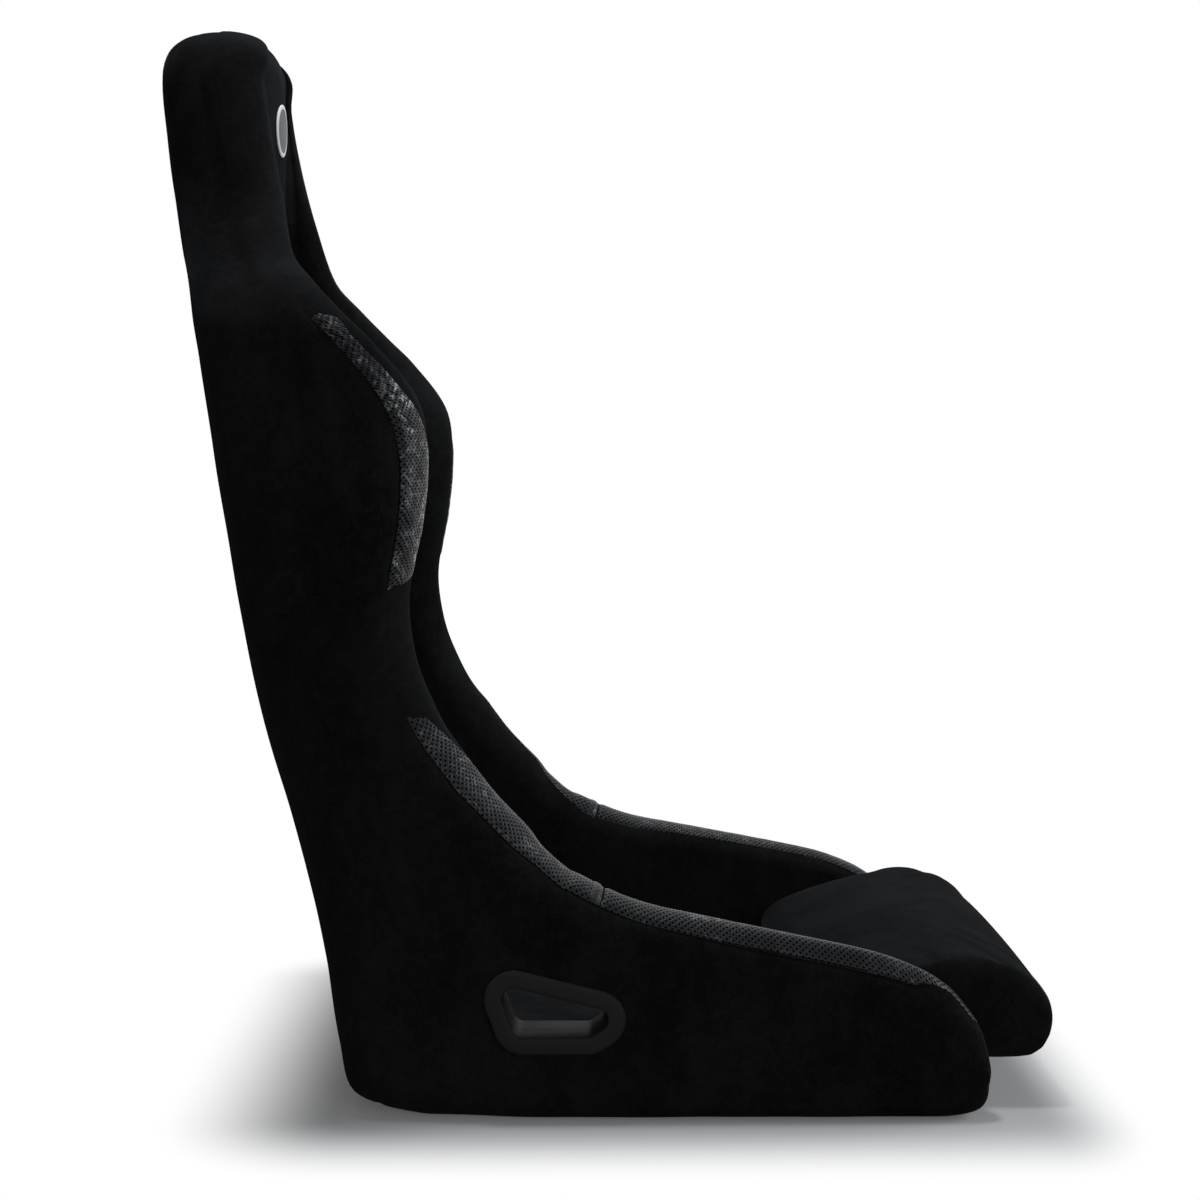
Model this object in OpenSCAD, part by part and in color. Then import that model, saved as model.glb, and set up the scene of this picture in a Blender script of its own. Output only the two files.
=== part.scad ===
// Fixed-back racing seat: a laminate tub dressed with side covers, a back
// cover, bolsters and loose cushions, harness slot bezels and base inserts.
// The seat faces -Y, +Z is up and X = 0 is its plane of symmetry.
// The origin lies on the base, in the middle of the four base bolts.

/* [Overall] */
// Height from the floor to the top of the head part
seat_height = 947; // [860:1:1040]
// Depth from the nose of the thigh cushion to the rear of the head part
seat_depth = 783; // [710:1:860]
// Width across the side walls at the hips
hip_width = 544; // [500:2:600]
// Width across the shell at the waist
waist_width = 494; // [460:2:560]
// Width across the shoulder wings
shoulder_width = 536; // [500:2:600]
// Width across the head part
head_width = 284; // [250:2:330]

/* [Sides] */
// Height of the side walls beside the seat cushion
hip_reach = 185; // [160:1:215]
// Depth of the sides at the waist, from the back to the crest
waist_reach = 145; // [125:1:170]
// Depth of the shoulder wings, from the back to the crest
wing_reach = 189; // [165:1:220]
// Depth of the head part, front to rear
head_depth = 104; // [94:1:120]
// How far the wings lean in over the occupant's ribs
wing_curl = 66; // [50:1:80]

/* [Laminate and covers] */
// Thickness of the laminate shell
shell_t = 4; // [3:0.5:5]
// Thickness of the outer fabric covers with their backing
cover_t = 2; // [1.5:0.1:2.6]
// Clearance between neighbouring pieces
gap = 0.3; // [0.2:0.05:0.5]
// How far the shell's rim stops below the padded crest
rim_drop = 9; // [8:1:10]
// How far the bolster cover wraps down the outside at the hips, from the crest
wrap = 20; // [17:1:21]
// Thickness of the perforated leather trims
trim_t = 1.3; // [1:0.1:2]

/* [Cushions] */
// Height of the seat cushion at its edges
seat_pad = 56; // [50:1:66]
// Depth of the back cushions, from the outside of the back
back_pad = 50; // [44:1:60]
// Crown of the cushions
crown = 8; // [4:1:12]
// Distance from the outside of the side walls to the thigh cushion
thigh_inset = 47; // [42:1:60]
// Radius of the cushions' sewn edges
cushion_edge_r = 12; // [8:1:16]
// Thickness of the hook and loop strips behind the cushions
strip_t = 3; // [2:0.5:3.5]
// Width of the hook and loop strips
strip_w = 30; // [20:1:40]

/* [Harness slots] */
// Width of the bezels' flanges round the lap slots
lap_flange = 15; // [10:1:18]
// Thickness of the bezels' flanges
flange_t = 3; // [2:0.5:4]
// Wall of the bezels' collars
collar_t = 2; // [1.5:0.5:3]
// Width of each shoulder slot
shoulder_slot_w = 84; // [76:1:92]
// Height of each shoulder slot
shoulder_slot_h = 42; // [34:1:48]
// Distance from the middle of the seat to the middle of each shoulder slot
shoulder_slot_x = 84; // [78:1:90]
// Width of the bezels' flanges round the shoulder slots
shoulder_flange = 12; // [8:1:14]
// Width of the crotch strap slot
strap_slot_w = 90; // [70:2:110]
// Length of the crotch strap slot, front to rear
strap_slot_l = 26; // [20:1:34]

/* [Base bolts] */
// Distance between the front and rear base bolts
bolt_spacing_y = 310; // [290:5:330]
// Distance between the left and right base bolts
bolt_spacing_x = 340; // [300:5:370]
// Diameter of the threaded holes
bolt_d = 8; // [6:1:10]
// Outer diameter of the inserts
insert_d = 16; // [14:1:20]
// Height of the inserts
insert_h = 14; // [12:1:18]
// Length of each steel mounting plate
plate_l = 350; // [350:5:370]
// Width of each steel mounting plate
plate_w = 40; // [34:1:50]
// Thickness of the steel mounting plates
plate_t = 3; // [2:0.5:4]

/* [Badge] */
// Width of the plain oval badge on the head part
badge_w = 70; // [50:2:80]
// Height of the plain oval badge
badge_h = 52; // [40:2:56]
// Thickness of the badge
badge_t = 1.5; // [1:0.1:2]

/* [Hidden] */
$fn = 48;

// Half-widths that the sections are worked out from
hip = hip_width / 2;
waist = waist_width / 2;
shoulder = shoulder_width / 2;
head = head_width / 2;

// The outline and the crests stretch with the seat's overall height and depth
fy = seat_depth / 783;
fz = seat_height / 947;

// Sections of the seat, from the front of the side walls over the heel to the top of the head part.
// Each section lies in a plane that holds the X direction and runs from the outline to the crest.
// [outline y, outline z, tilt of the plane, reach to the crest,
//  half-width of the side, of the crest, of the inner wall and of the foot where the cushion starts,
//  radius of the outer corner, depth of the outer and of the inner roll, cushion level, crown, floor lift,
//  share of the wrap at which the outer seam lies]
SECTIONS = [
    // rounded front end of the side walls
    [-288, 24, 90, 22, hip - 10, hip - 17, hip - 26, hip - 24, 9, 11, 9, 11, 0, 30, .65],
    [-286, 13, 90, 44, hip - 6, hip - 16, hip - 31, hip - 29, 10, 20, 15, 22, 0, 30, .65],
    [-280, 6, 90, 69, hip - 3, hip - 16, hip - 34, hip - 32, 11, 29, 17, 40, 0, 25, .7],
    [-268, 2, 90, 91, hip - 1, hip - 16, hip - 36, hip - 34, 12, 30, 18, seat_pad - 6, 0, 24, .8],
    [-250, 0, 90, 113, hip, hip - 15, hip - 37, hip - 37, 12, 30, 20, seat_pad, 0, 19, .9],
    // pan
    [-215, 0, 90, 132, hip, hip - 15, hip - 38, hip - 40, 12, 30, 20, seat_pad, crown / 2, 7, .95],
    [-180, 0, 90, hip_reach - 42, hip, hip - 16, hip - 38, hip - 44, 12, 30, 20, seat_pad, crown, 0, 1],
    [-45, 0, 85, hip_reach - 17, hip, hip - 22, hip - 47, hip - 51, 12, 31, 22, seat_pad, crown, 0, 1],
    [45, 0, 78, hip_reach, hip, hip - 29, hip - 56, hip - 56, 12, 33, 24, seat_pad, crown, 0, 1],
    [120, 0, 69, hip_reach + 25, hip, hip - 35, hip - 58, hip - 58, 16, 36, 28, seat_pad, crown, 0, .92],
    [190, 0, 59, hip_reach + 55, hip - 1, hip - 40, hip - 62, hip - 64, 26, 38, 30, seat_pad, crown, 0, .85],
    // heel and lower back
    [253, 14, 52.5, hip_reach + 82, hip - 3, hip - 43, hip - 68, hip - 82,
        38, 40, 32, seat_pad, crown, 0, .82],
    [270, 55, 48.5, waist_reach + 106, hip - 6, hip - 46, hip - 71, hip - 94,
        44, 42, 34, back_pad + 2, crown, 0, .8],
    [283, 118, 45, waist_reach + 71, waist + 15, waist - 23, waist - 50, waist - 77,
        50, 42, 34, back_pad, crown, 0, .85],
    [297, 180, 39, waist_reach + 43, waist + 11, waist - 26, waist - 55, waist - 83,
        54, 42, 34, back_pad, crown, 0, .9],
    [319, 258, 24.5, waist_reach + 18, waist + 5, waist - 29, waist - 60, waist - 89,
        60, 42, 34, back_pad, crown, 0, 1.1],
    [340, 325, 13.5, waist_reach + 11, waist + 1, waist - 31, waist - 64, waist - 93,
        64, 42, 34, back_pad, crown, 0, 1.2],
    // waist and shoulder wings
    [351.5, 378, 6.5, waist_reach + 8, waist, waist - 32, waist - 67, waist - 95,
        64, 44, 36, back_pad, crown, 0, 1.05],
    [360, 425, 6, waist_reach + 12, waist + 3, waist - 39, waist - 73, waist - 96,
        64, 50, 40, back_pad, crown, 0, .85],
    [369, 490, 6, wing_reach - 11, shoulder - 10, shoulder - wing_curl - 8, shoulder - 104, shoulder - 117,
        64, 62, 44, back_pad, crown, 0, .92],
    [377, 545, 6, wing_reach + .5, shoulder - 4, shoulder - wing_curl - 6, shoulder - 102, shoulder - 116,
        64, 66, 46, back_pad, crown, 0, 1.2],
    [382.5, 590, 6, wing_reach - 2.5, shoulder, shoulder - wing_curl + 16, shoulder - 88, shoulder - 114,
        64, 60, 46, back_pad - 2, crown, 0, 1.35],
    [389.5, 640, 5.5, wing_reach - 31, shoulder + 2, shoulder - 18, shoulder - 63, shoulder - 110,
        62, 44, 42, back_pad - 8, crown / 2, 0, 1.4],
    [394.8, 670, 4, wing_reach - 50.7, shoulder - 4, shoulder - 18, shoulder - 63, shoulder - 110,
        58, 38, 40, back_pad - 10, 0, 0, 1.45],
    [401, 702, 2, wing_reach - 70.5, shoulder - 30, shoulder - 42, shoulder - 82, shoulder - 120,
        52, 34, 36, back_pad - 8, 0, 0, 1.45],
    // neck and head part
    [412.5, 735, -1, head_depth + 4, head + 52, head + 38, head + 8, head - 12,
        46, 34, 30, head_depth - 47, crown / 2, 0, 1.45],
    [424.5, 785, 0, head_depth + 2, head + 12, head - 13, head - 30, head - 44,
        40, 36, 16, head_depth - 18, crown / 2, 0, 1.45],
    [430.5, 840, -1, head_depth - 4, head, head - 32, head - 46, head - 60,
        38, 40, 6, head_depth - 10, 4, 0, 1.45],
    [433.5, 895, -1, head_depth - 9, head - 8, head - 42, head - 55, head - 70,
        38, 42, 4, head_depth - 15, 4, 0, 1.45],
    // top of the head part
    [427.5, 917, 0, head_depth - 14.5, head - 20, head - 54, head - 66, head - 82,
        34, 36, 4, head_depth - 19, 3, 0, 1.3],
    [417, 933, 0, head_depth - 34, head - 40, head - 70, head - 82, head - 97,
        26, 28, 3, head_depth - 37, 2, 0, 1],
    [404, 943.5, 0, head_depth - 61, head - 72, head - 94, head - 102, head - 112,
        16, 16, 2, head_depth - 62.5, 1, 0, .6],
    [395, 947, 0, head_depth - 85, head - 112, head - 122, head - 126, head - 130,
        7, 7, 1, head_depth - 85.4, .3, 0, .3],
];
LAST = len(SECTIONS) - 1;

// Named places along the sections, counted from the front
T_PADDED = 2.03;        // end of the solid padding at the front of the side walls
T_SHELL_FRONT = 2.15;   // front edge of the laminate
T_PAN = 5;              // the floor's front ramp flattens out
T_SEAT = 6.42;          // front of the seat cushion
T_TRIM = 9.56;          // butt seam between the hip trims
T_COVER = 10.5;         // the back cover starts under the heel
T_HEEL = 11;            // middle of the heel
T_LUMBAR = 16.5;        // seam between the lumbar and back cushions
T_WAIST = 17;           // seam between the hip and shoulder bolsters
T_PANEL = 21.85;        // seam between the back cushion and the harness panel
T_SLOT = 23;            // middle of the shoulder slots
T_HEAD = 26;            // underside of the headrest pad
T_TOP = 28.4;           // top of the covers and of the open part of the laminate
SIDE_DRAFT = 6;         // how much narrower the side is at its lower corner
BACK_BOW = 8;           // how far the back's corners lie ahead of its middle

// Smooth curve through the sections, by their distance along the outline
function sum_to(v, i) = i <= 0 ? 0 : v[i - 1] + sum_to(v, i - 1);
STEPS = [for (i = [0 : LAST - 1]) norm([SECTIONS[i + 1].x - SECTIONS[i].x, SECTIONS[i + 1].y - SECTIONS[i].y])];
ALONG = [for (i = [0 : LAST]) sum_to(STEPS, i)];
SLOPES = [for (i = [0 : LAST])
    let (a = max(i - 1, 0), b = min(i + 1, LAST)) (SECTIONS[b] - SECTIONS[a]) / (ALONG[b] - ALONG[a])];
function at(t) =
    let (i = min(floor(t), LAST - 1), u = t - i, h = STEPS[i], u2 = u * u, u3 = u2 * u)
    (2 * u3 - 3 * u2 + 1) * SECTIONS[i] + (u3 - 2 * u2 + u) * h * SLOPES[i]
    + (3 * u2 - 2 * u3) * SECTIONS[i + 1] + (u3 - u2) * h * SLOPES[i + 1];

// Outline point and crest point of a section, stretched to the overall sizes
function outline_of(p) = [p[0] * fy, max(0, p[1]) * fz];
function crest_of(p) = [(p[0] - p[3] * cos(p[2])) * fy, (p[1] + p[3] * sin(p[2])) * fz];
// How much longer a wall is along the section plane than square to the outline
function slant_of(t, dir) =
    t < T_PAN || t > T_TOP - .5 ? 1
    : let (a = outline_of(at(t - .02)), b = outline_of(at(t + .02)), d = (b - a) / norm(b - a))
      1 / max(.6, [-d.y, d.x] * dir);

// A station holds what every piece needs of a section:
// [sizes, outline point, direction to the crest, reach, slant, bow of the back, side-to-corner flat]
function station(t) =
    let (p = at(t), b = outline_of(p), c = crest_of(p), r = norm(c - b), dir = (c - b) / r,
         k = slant_of(t, dir),
         bow = BACK_BOW * k * max(0, min(1, (t - T_HEEL + 1) / 3)) * max(0, min(1, (T_HEAD + 4 - t) / 4)))
    [p, b, dir, r, k, bow, p[4] - SIDE_DRAFT - p[8]];
function reach(s) = s[3];
function slant(s) = s[4];
function side(s) = s[0][4];
function crest(s) = s[0][5];
function inner(s) = s[0][6];
function foot(s) = s[0][7];
function corner(s) = s[0][8];
function roll(s) = s[0][9];
function inner_roll(s) = s[0][10];
function level(s) = s[0][11] * slant(s);
function crown_at(s) = s[0][12] * slant(s);
function lift(s) = max(0, s[0][13]);
function flat(s) = s[6];
// Share of the cover's thickness by which the laminate lies inside the outline: none under the pan
function behind_cover(t) = max(0, min(1, (t - T_COVER + .5) * 2));

// Height of the floor or back above the outline at half-width x, straight between shares of the flat's width
FLOOR_SHARES = [0, .5, .78];
function floor_d(s, x) =
    lookup(x / flat(s), concat([for (f = FLOOR_SHARES) [f, s[5] * f * f + lift(s)]], [[1, s[5]]]));

// Outer surface: corner at angle th (90 under the pan, 0 on the side), and roll at angle ph (0 side, 90 crest),
// moved inward by e from the visible surface
function corner_depth(s) = min(corner(s) * slant(s), reach(s) / 2);
function corner_pt(s, th, e_side, e_floor) =
    let (share = pow(sin(th), 6), e = e_side + (e_floor - e_side) * share, r = corner(s), rd = corner_depth(s))
    [flat(s) + (r - e) * cos(th), s[5] + rd - (rd - e * slant(s)) * sin(th)];
function roll_foot(s) = max(reach(s) - roll(s), s[5] + corner_depth(s));
function roll_pt(s, ph, e) =
    let (w = side(s) - crest(s), h = reach(s) - roll_foot(s), m = norm([h * cos(ph), w * sin(ph)]))
    [crest(s) + w * cos(ph) - e * h * cos(ph) / m, roll_foot(s) + h * sin(ph) - e * w * sin(ph) / m];
function inner_pt(s, ps, e) =
    let (w = crest(s) - inner(s), h = inner_roll(s), m = norm([h * sin(ps), w * cos(ps)]))
    [crest(s) - w * sin(ps) + e * h * sin(ps) / m, reach(s) - h * (1 - cos(ps)) - e * w * cos(ps) / m];
// Angle on the roll at a distance below the crest
function roll_angle(s, drop) =
    let (h = reach(s) - roll_foot(s)) asin(max(.12 - .002 * drop, min(1, 1 - drop / h)));
function side_pt(s, e) = [side(s) - e, (min(s[5] + corner_depth(s) + 30, roll_foot(s)) + roll_foot(s)) / 2];

// Puts section points at their station
function put(s, pts) = [for (q = pts) [q.x, s[1].x + q.y * s[2].x, s[1].y + q.y * s[2].y]];
function reversed(pts) = [for (i = [len(pts) - 1 : -1 : 0]) pts[i]];
function whole(half) = concat(mirrored([for (i = [1 : len(half) - 1]) half[i]]), half);
function mirrored(pts) = [for (i = [len(pts) - 1 : -1 : 0]) [-pts[i].x, pts[i].y]];

// Solid skinned over rings that all have the same number of points, with flat ends. Each four-sided
// patch is folded along its shorter diagonal.
module skin_over(rings) {
    n = len(rings[0]);
    last = len(rings) - 1;
    points = [for (r = rings) each r];
    sides = [for (j = [0 : last - 1], i = [0 : n - 1])
        let (a = j * n + i, b = j * n + (i + 1) % n, c = a + n, d = b + n)
        each norm(points[a] - points[d]) < norm(points[b] - points[c])
            ? [[a, b, d], [a, d, c]] : [[a, b, c], [b, d, c]]];
    ends = [[for (i = [n - 1 : -1 : 0]) i], [for (i = [0 : n - 1]) last * n + i]];
    polyhedron(points = points, faces = concat(sides, ends), convexity = 12);
}
module both_sides(left) {
    if (left) children();
    else mirror([1, 0, 0]) children();
}

// Every piece is skinned over the same places, so that neighbouring pieces stay parallel. Between two
// places a ring is a straight mix of the rings on either side.
PLACES = concat([0, .5, 1, 1.5, T_PADDED, 3, 4, 5, 6, 6.5, 7, 8, 9, 9.5], [for (t = [10 : .5 : 13]) t],
    [14, 15, 16, 17], [for (t = [18 : .5 : 26.5]) t], [27, 28, T_TOP]);
function ring_at(ring, t) =
    let (i = max([for (j = [0 : len(PLACES) - 2]) PLACES[j] <= t ? j : 0]),
         u = (t - PLACES[i]) / (PLACES[i + 1] - PLACES[i]))
    u <= 0 ? ring(PLACES[i]) : ring(PLACES[i]) * (1 - u) + ring(PLACES[i + 1]) * u;
function rings(ring, from, to) =
    concat([ring_at(ring, from)], [for (t = PLACES) if (t > from && t < to) ring(t)], [ring_at(ring, to)]);

// ---- paths shared by the pieces ----
cover_gap = cover_t + gap;          // outside of the laminate, from the visible surface
inside = cover_gap + shell_t;       // inside of the laminate
function mix(a, b, f) = a * (1 - f) + b * f;
function floor_gap(t, e) = e - cover_gap * (1 - behind_cover(t));
function floor_path(t, s, e) =
    [for (f = FLOOR_SHARES) [f * flat(s), floor_d(s, f * flat(s)) + floor_gap(t, e) * slant(s)]];
CORNER = [90, 60, 30, 0];
function corner_path(t, s, e) = [for (th = CORNER) corner_pt(s, th, e, floor_gap(t, e))];
// Angles on the outer roll: its foot, the seam between side cover and bolster, and the laminate's rim
function seam_drop(s) = wrap * s[0][14];
function seam_angle(s) = roll_angle(s, seam_drop(s));
function rim_angle(s) = roll_angle(s, rim_drop);
function wall_path(s, e) = concat([side_pt(s, e)], [for (f = [0, .5, 1]) roll_pt(s, f * seam_angle(s), e)]);
function rim_path(s, e, past) =
    let (a = seam_angle(s), b = rim_angle(s))
    [for (f = [.5, 1]) roll_pt(s, a + (b - a) * f + (f == 1 ? past : 0), e)];
function level_at(s, x) = level(s) + crown_at(s) * (1 - pow(min(x / foot(s), 1), 2));
// Crest between the outer seam (-1), the crest line (0) and the inner wall (1), moved inward by e
CREST = [-1, -.66, -.33, 0, .25, .5, .75, 1];
function edge_angle(s) = roll_angle(s, seam_drop(s) - gap);
function crest_pt(s, a, e) = a < 0 ? roll_pt(s, 90 + a * (90 - edge_angle(s)), e) : inner_pt(s, 90 * a, e);
function crest_on(s, a, e) =
    let (i = max([for (j = [0 : len(CREST) - 2]) CREST[j] <= a ? j : 0]))
    mix(crest_pt(s, CREST[i], e), crest_pt(s, CREST[i + 1], e), (a - CREST[i]) / (CREST[i + 1] - CREST[i]));

// ---- laminate shell ----
function shell_half(t, s, e) =
    concat(floor_path(t, s, e), corner_path(t, s, e), wall_path(s, e), rim_path(s, e, 0));
module shell() {
    color([.16, .16, .17])
    difference() {
        skin_over(rings(function (t) let (s = station(t))
            put(s, concat(whole(shell_half(t, s, cover_gap)), reversed(whole(shell_half(t, s, inside))))),
            T_SHELL_FRONT, T_TOP));
        lap_slots(collar_t + gap);
        shoulder_slots(collar_t + 2 * gap);
        strap_slot(collar_t + gap, 20);
        at_bolts() cylinder(d = insert_d + 2 * gap, h = 40, center = true, $fn = 24);
    }
}
// ---- outer covers ----
// Side cover: from its hem under the lower corner, or its seam round the rear corner, to the bolster's seam
function cover_path(t, s, e) =
    let (c = [for (th = CORNER) corner_pt(s, th, e, e > 0 ? floor_gap(t, e) : 0)])
    concat(t < T_COVER ? [c[1], c[2]] : [mix(c[1], c[2], .5), c[2]], [c[3]], wall_path(s, e));
function cover_ring(t) =
    let (s = station(t)) put(s, concat(cover_path(t, s, 0), reversed(cover_path(t, s, cover_t))));
// The front end of the side wall is padded through to its bowed inner face
function padded_ring(t) =
    let (s = station(t), out = cover_path(t, s, 0), low = out[0].y, high = out[len(out) - 1].y)
    put(s, concat(out, reversed([for (q = out)
        [min(inner(s), q.x - 1) - 1.5 * sin(180 * (q.y - low) / (high - low)), q.y]])));
module side_cover(left) {
    color([.06, .06, .065])
    both_sides(left)
    difference() {
        skin_over(concat(rings(function (t) padded_ring(t), 0, T_PADDED),
            rings(function (t) cover_ring(t), T_PADDED + .05, T_TOP)));
        lap_slots(collar_t + gap);
    }
}
function back_path(s, e) =
    let (a = corner_pt(s, 60, e, e), b = corner_pt(s, 30, e, e))
    concat([for (f = FLOOR_SHARES) [f * flat(s), floor_d(s, f * flat(s)) + e * slant(s)]],
        [corner_pt(s, 90, e, e), a, mix(a, b, .48)]);
module back_cover() {
    color([.06, .06, .065])
    difference() {
        skin_over(rings(function (t) let (s = station(t))
            put(s, concat(whole(back_path(s, 0)), reversed(whole(back_path(s, cover_t))))), T_COVER, T_TOP));
        shoulder_slots(collar_t + 2 * gap);
    }
}

// ---- bolsters: foam rolls whose cover hooks over the laminate's rim ----
function bolster_ring(t) =
    let (s = station(t), e = inside + gap, crest_top = [for (a = CREST) crest_pt(s, a, 0)],
         past = asin(min(1, 2 * gap / roll(s))) + 1)
    put(s, concat(crest_top, [mix(crest_top[7], [foot(s), level(s)], .5) - [1.5, 0], [foot(s), level(s)]],
        [[foot(s), floor_d(s, foot(s)) + floor_gap(t, e) * slant(s)]],
        corner_path(t, s, e), wall_path(s, e), rim_path(s, e, past),
        reversed(concat([roll_pt(s, edge_angle(s), cover_t)], rim_path(s, cover_t, past)))));
// Padded front end: only the part above the seam, its lower face bowed up a little
function capped_ring(t) =
    let (s = station(t), crest_top = [for (a = CREST) crest_pt(s, a, 0)], low = [inner(s), crest_top[0].y])
    put(s, concat(crest_top, [for (f = [1 : 4]) mix(crest_top[7], low, f / 4) - [1.5 * sin(45 * f), 0]],
        [for (f = [1 : 12]) mix(low, crest_top[0], f / 13) + [0, .8 * sin(180 * f / 13)]]));
module hip_bolster(left) {
    color([.09, .09, .1])
    both_sides(left)
    difference() {
        skin_over(concat(rings(function (t) capped_ring(t), 0, T_PADDED),
            rings(function (t) bolster_ring(t), T_PADDED + .08, T_WAIST)));
        lap_slots(collar_t + gap);
        along_x(inner_wall - 30, inner_wall - gap) lap_outline(lap_flange / 2 + gap);
    }
}
module shoulder_bolster(left) {
    color([.09, .09, .1])
    both_sides(left)
    skin_over(rings(function (t) bolster_ring(t), T_WAIST + .01, T_HEAD - .01));
}

// ---- head part: a front pad hooked over the laminate's rim, and a cap on top of it ----
function pad_front(s) =
    concat([for (a = [-1, -.5, 0, .5, 1]) crest_pt(s, a, 0)],
        [for (f = [1, .6, .3, 0]) [f * foot(s), level_at(s, f * foot(s))]]);
function pad_ring(t) =
    let (s = station(t), e = inside + gap, past = asin(min(1, 2 * gap / roll(s))) + 1,
         rear = concat(floor_path(t, s, e), corner_path(t, s, e), wall_path(s, e), rim_path(s, e, past),
            reversed(concat([roll_pt(s, edge_angle(s), cover_t)], rim_path(s, cover_t, past)))))
    put(s, concat(reversed(whole(reversed(pad_front(s)))), whole(rear)));
module headrest_pad() {
    color([.07, .07, .075])
    skin_over(rings(function (t) pad_ring(t), T_HEAD, T_TOP));
}
function cap_ring(t) =
    let (s = station(t),
         half = concat([for (f = FLOOR_SHARES) [f * flat(s), floor_d(s, f * flat(s))]],
            [for (th = CORNER) corner_pt(s, th, 0, 0)], [for (f = [0, .5]) roll_pt(s, 90 * f, 0)],
            [crest_pt(s, 0, 0), crest_pt(s, .5, 0), crest_pt(s, 1, 0)],
            [for (f = [1, .6, .3, 0]) [f * foot(s), level_at(s, f * foot(s))]]))
    put(s, concat(half, mirrored([for (i = [1 : len(half) - 2]) half[i]])));
module headrest_cap() {
    color([.08, .07, .075])
    skin_over([for (t = [T_TOP + .015, 28.7, 29, 29.5, 30, 30.5, 31, 31.5, LAST]) cap_ring(t)]);
}

// ---- cushions ----
// A cushion on the floor or the back: share is 1 in the middle and less at its rounded ends
function cushion_ring(t, share, draw_in) =
    let (s = station(t), under = (floor_gap(t, inside) + 2 * gap + strip_t) * slant(s),
         w = foot(s) - 2 * gap - draw_in, low = floor_d(s, w) + under, high = low + (level(s) - low) * share,
         r = min(cushion_edge_r, (high - low) / 2),
         top = concat([for (f = [0, .35, .7]) let (x = f * (w - r)) [x, low + (level_at(s, x) - low) * share]],
            [for (q = [0, 30, 60, 90]) [w - r + r * sin(q), high - r + r * cos(q)]]),
         bottom = concat([for (f = [0, .5]) [f * flat(s), floor_d(s, f * flat(s)) + under]], [[w, low]]))
    put(s, concat(whole(bottom), reversed(whole(top))));
END_SHARES = [[0, .55], [.015, .78], [.04, .93], [.08, 1]];
module cushion(from, to) {
    places = concat([for (q = END_SHARES) [from + (to - from) * q[0], q[1]]],
        [for (t = PLACES) if (t > from + .1 * (to - from) && t < to - .1 * (to - from)) [t, 1]],
        reversed([for (q = END_SHARES) [to - (to - from) * q[0], q[1]]]));
    skin_over([for (q = places)
        ring_at(function (t) cushion_ring(t, q[1], 3 * sin(180 * (q[0] - from) / (to - from))), q[0])]);
}
module seat_cushion() {
    color([.08, .08, .085])
    difference() {
        cushion(T_SEAT, 10.8);
        strap_slot(collar_t + 5, 200);
        at_bolts() cylinder(r = insert_flange_r + 2, h = 2 * insert_h + 4, center = true, $fn = 24);
    }
}
module lumbar_cushion() color([.08, .08, .085]) cushion(11.25, T_LUMBAR - .03);
module back_cushion() color([.08, .08, .085]) cushion(T_LUMBAR + .03, T_PANEL - .03);
module harness_panel() {
    color([.07, .07, .075])
    difference() {
        cushion(T_PANEL + .03, T_HEAD - .04);
        shoulder_slots(collar_t + 2 * gap);
        for (left = [true, false])
            at_slot(left) translate([0, 0, panel_front - slot_sink - gap]) linear_extrude(40)
                shoulder_outline(shoulder_flange + 2 * gap);
    }
}

// Side outline of the thigh cushion, from its lower rear edge round the nose: [y, z]
THIGH = [[-131, 12], [-139, 8], [-180, 8.5], [-215, 15.5], [-250, 27.5], [-268, 34.5], [-284, 40], [-304, 40],
    [-330, 42], [-343, 51], [-349.5, 69], [-348.5, 89], [-337, 112], [-319, 126.5], [-297, 135], [-270, 137],
    [-230, 129], [-185, 116], [-152, 102], [-137, 90], [-131, 76]];
function thigh_ring(x, inset, droop) =
    let (n = len(THIGH), pts = [for (q = THIGH) [q.x * fy, q.y * fz]])
    [for (i = [0 : n - 1])
        let (a = pts[(i + n - 1) % n], b = pts[(i + 1) % n], d = (b - a) / norm(b - a),
             up = max(0, min(1, (pts[i].y - 60) / 50)))
        [x, pts[i].x + inset * d.y, pts[i].y - inset * d.x - droop * up]];
module thigh_cushion() {
    w = hip - thigh_inset;
    r = cushion_edge_r;
    half = [[1, r * .9], [1 - .15 * r / w, r * .5], [1 - .5 * r / w, r * .15],
        [1 - r / w, 0], [.7, 0], [.3, 0]];
    places = concat([for (q = half) [-q.x, q.y]], reversed(half));
    color([.08, .08, .085])
    difference() {
        skin_over([for (q = places) thigh_ring(q.x * w, q.y, crown * .8 * q.x * q.x)]);
        at_bolts() cylinder(r = insert_flange_r + 2, h = 2 * insert_h + 4, center = true, $fn = 24);
    }
}

// Hook and loop strips that hold the loose cushions to the laminate
STRIP_X = 60;
function strip_ring(t) =
    let (s = station(t), low = (floor_gap(t, inside) + gap) * slant(s))
    put(s, [for (q = [[0, 0], [1, 0], [1, 1], [0, 1]])
        let (x = STRIP_X + q.x * strip_w) [x, floor_d(s, x) + low + q.y * strip_t * slant(s)]]);
module hook_loop_strips()
    color([.1, .1, .1])
    for (left = [true, false], run = [[3.3, 5.7], [6.9, 10.3], [12, 16], [17, 21.4]])
        both_sides(left)
        skin_over(rings(function (t) strip_ring(t), run[0], run[1]));

// ---- leather trims on the crests ----
// A trim reaches from the outer seam to the place "over" on the crest
function trim_ring(t, over) =
    let (s = station(t), across = [for (a = CREST) if (a < over) a, over])
    put(s, concat([for (a = across) crest_on(s, a, -2 * gap - trim_t)],
        reversed([for (a = across) crest_on(s, a, -2 * gap)])));
module trim(left, from, to, over) {
    color([.2, .2, .21])
    both_sides(left)
    difference() {
        skin_over(rings(function (t) trim_ring(t, over), from, to));
        children();
    }
}
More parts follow.
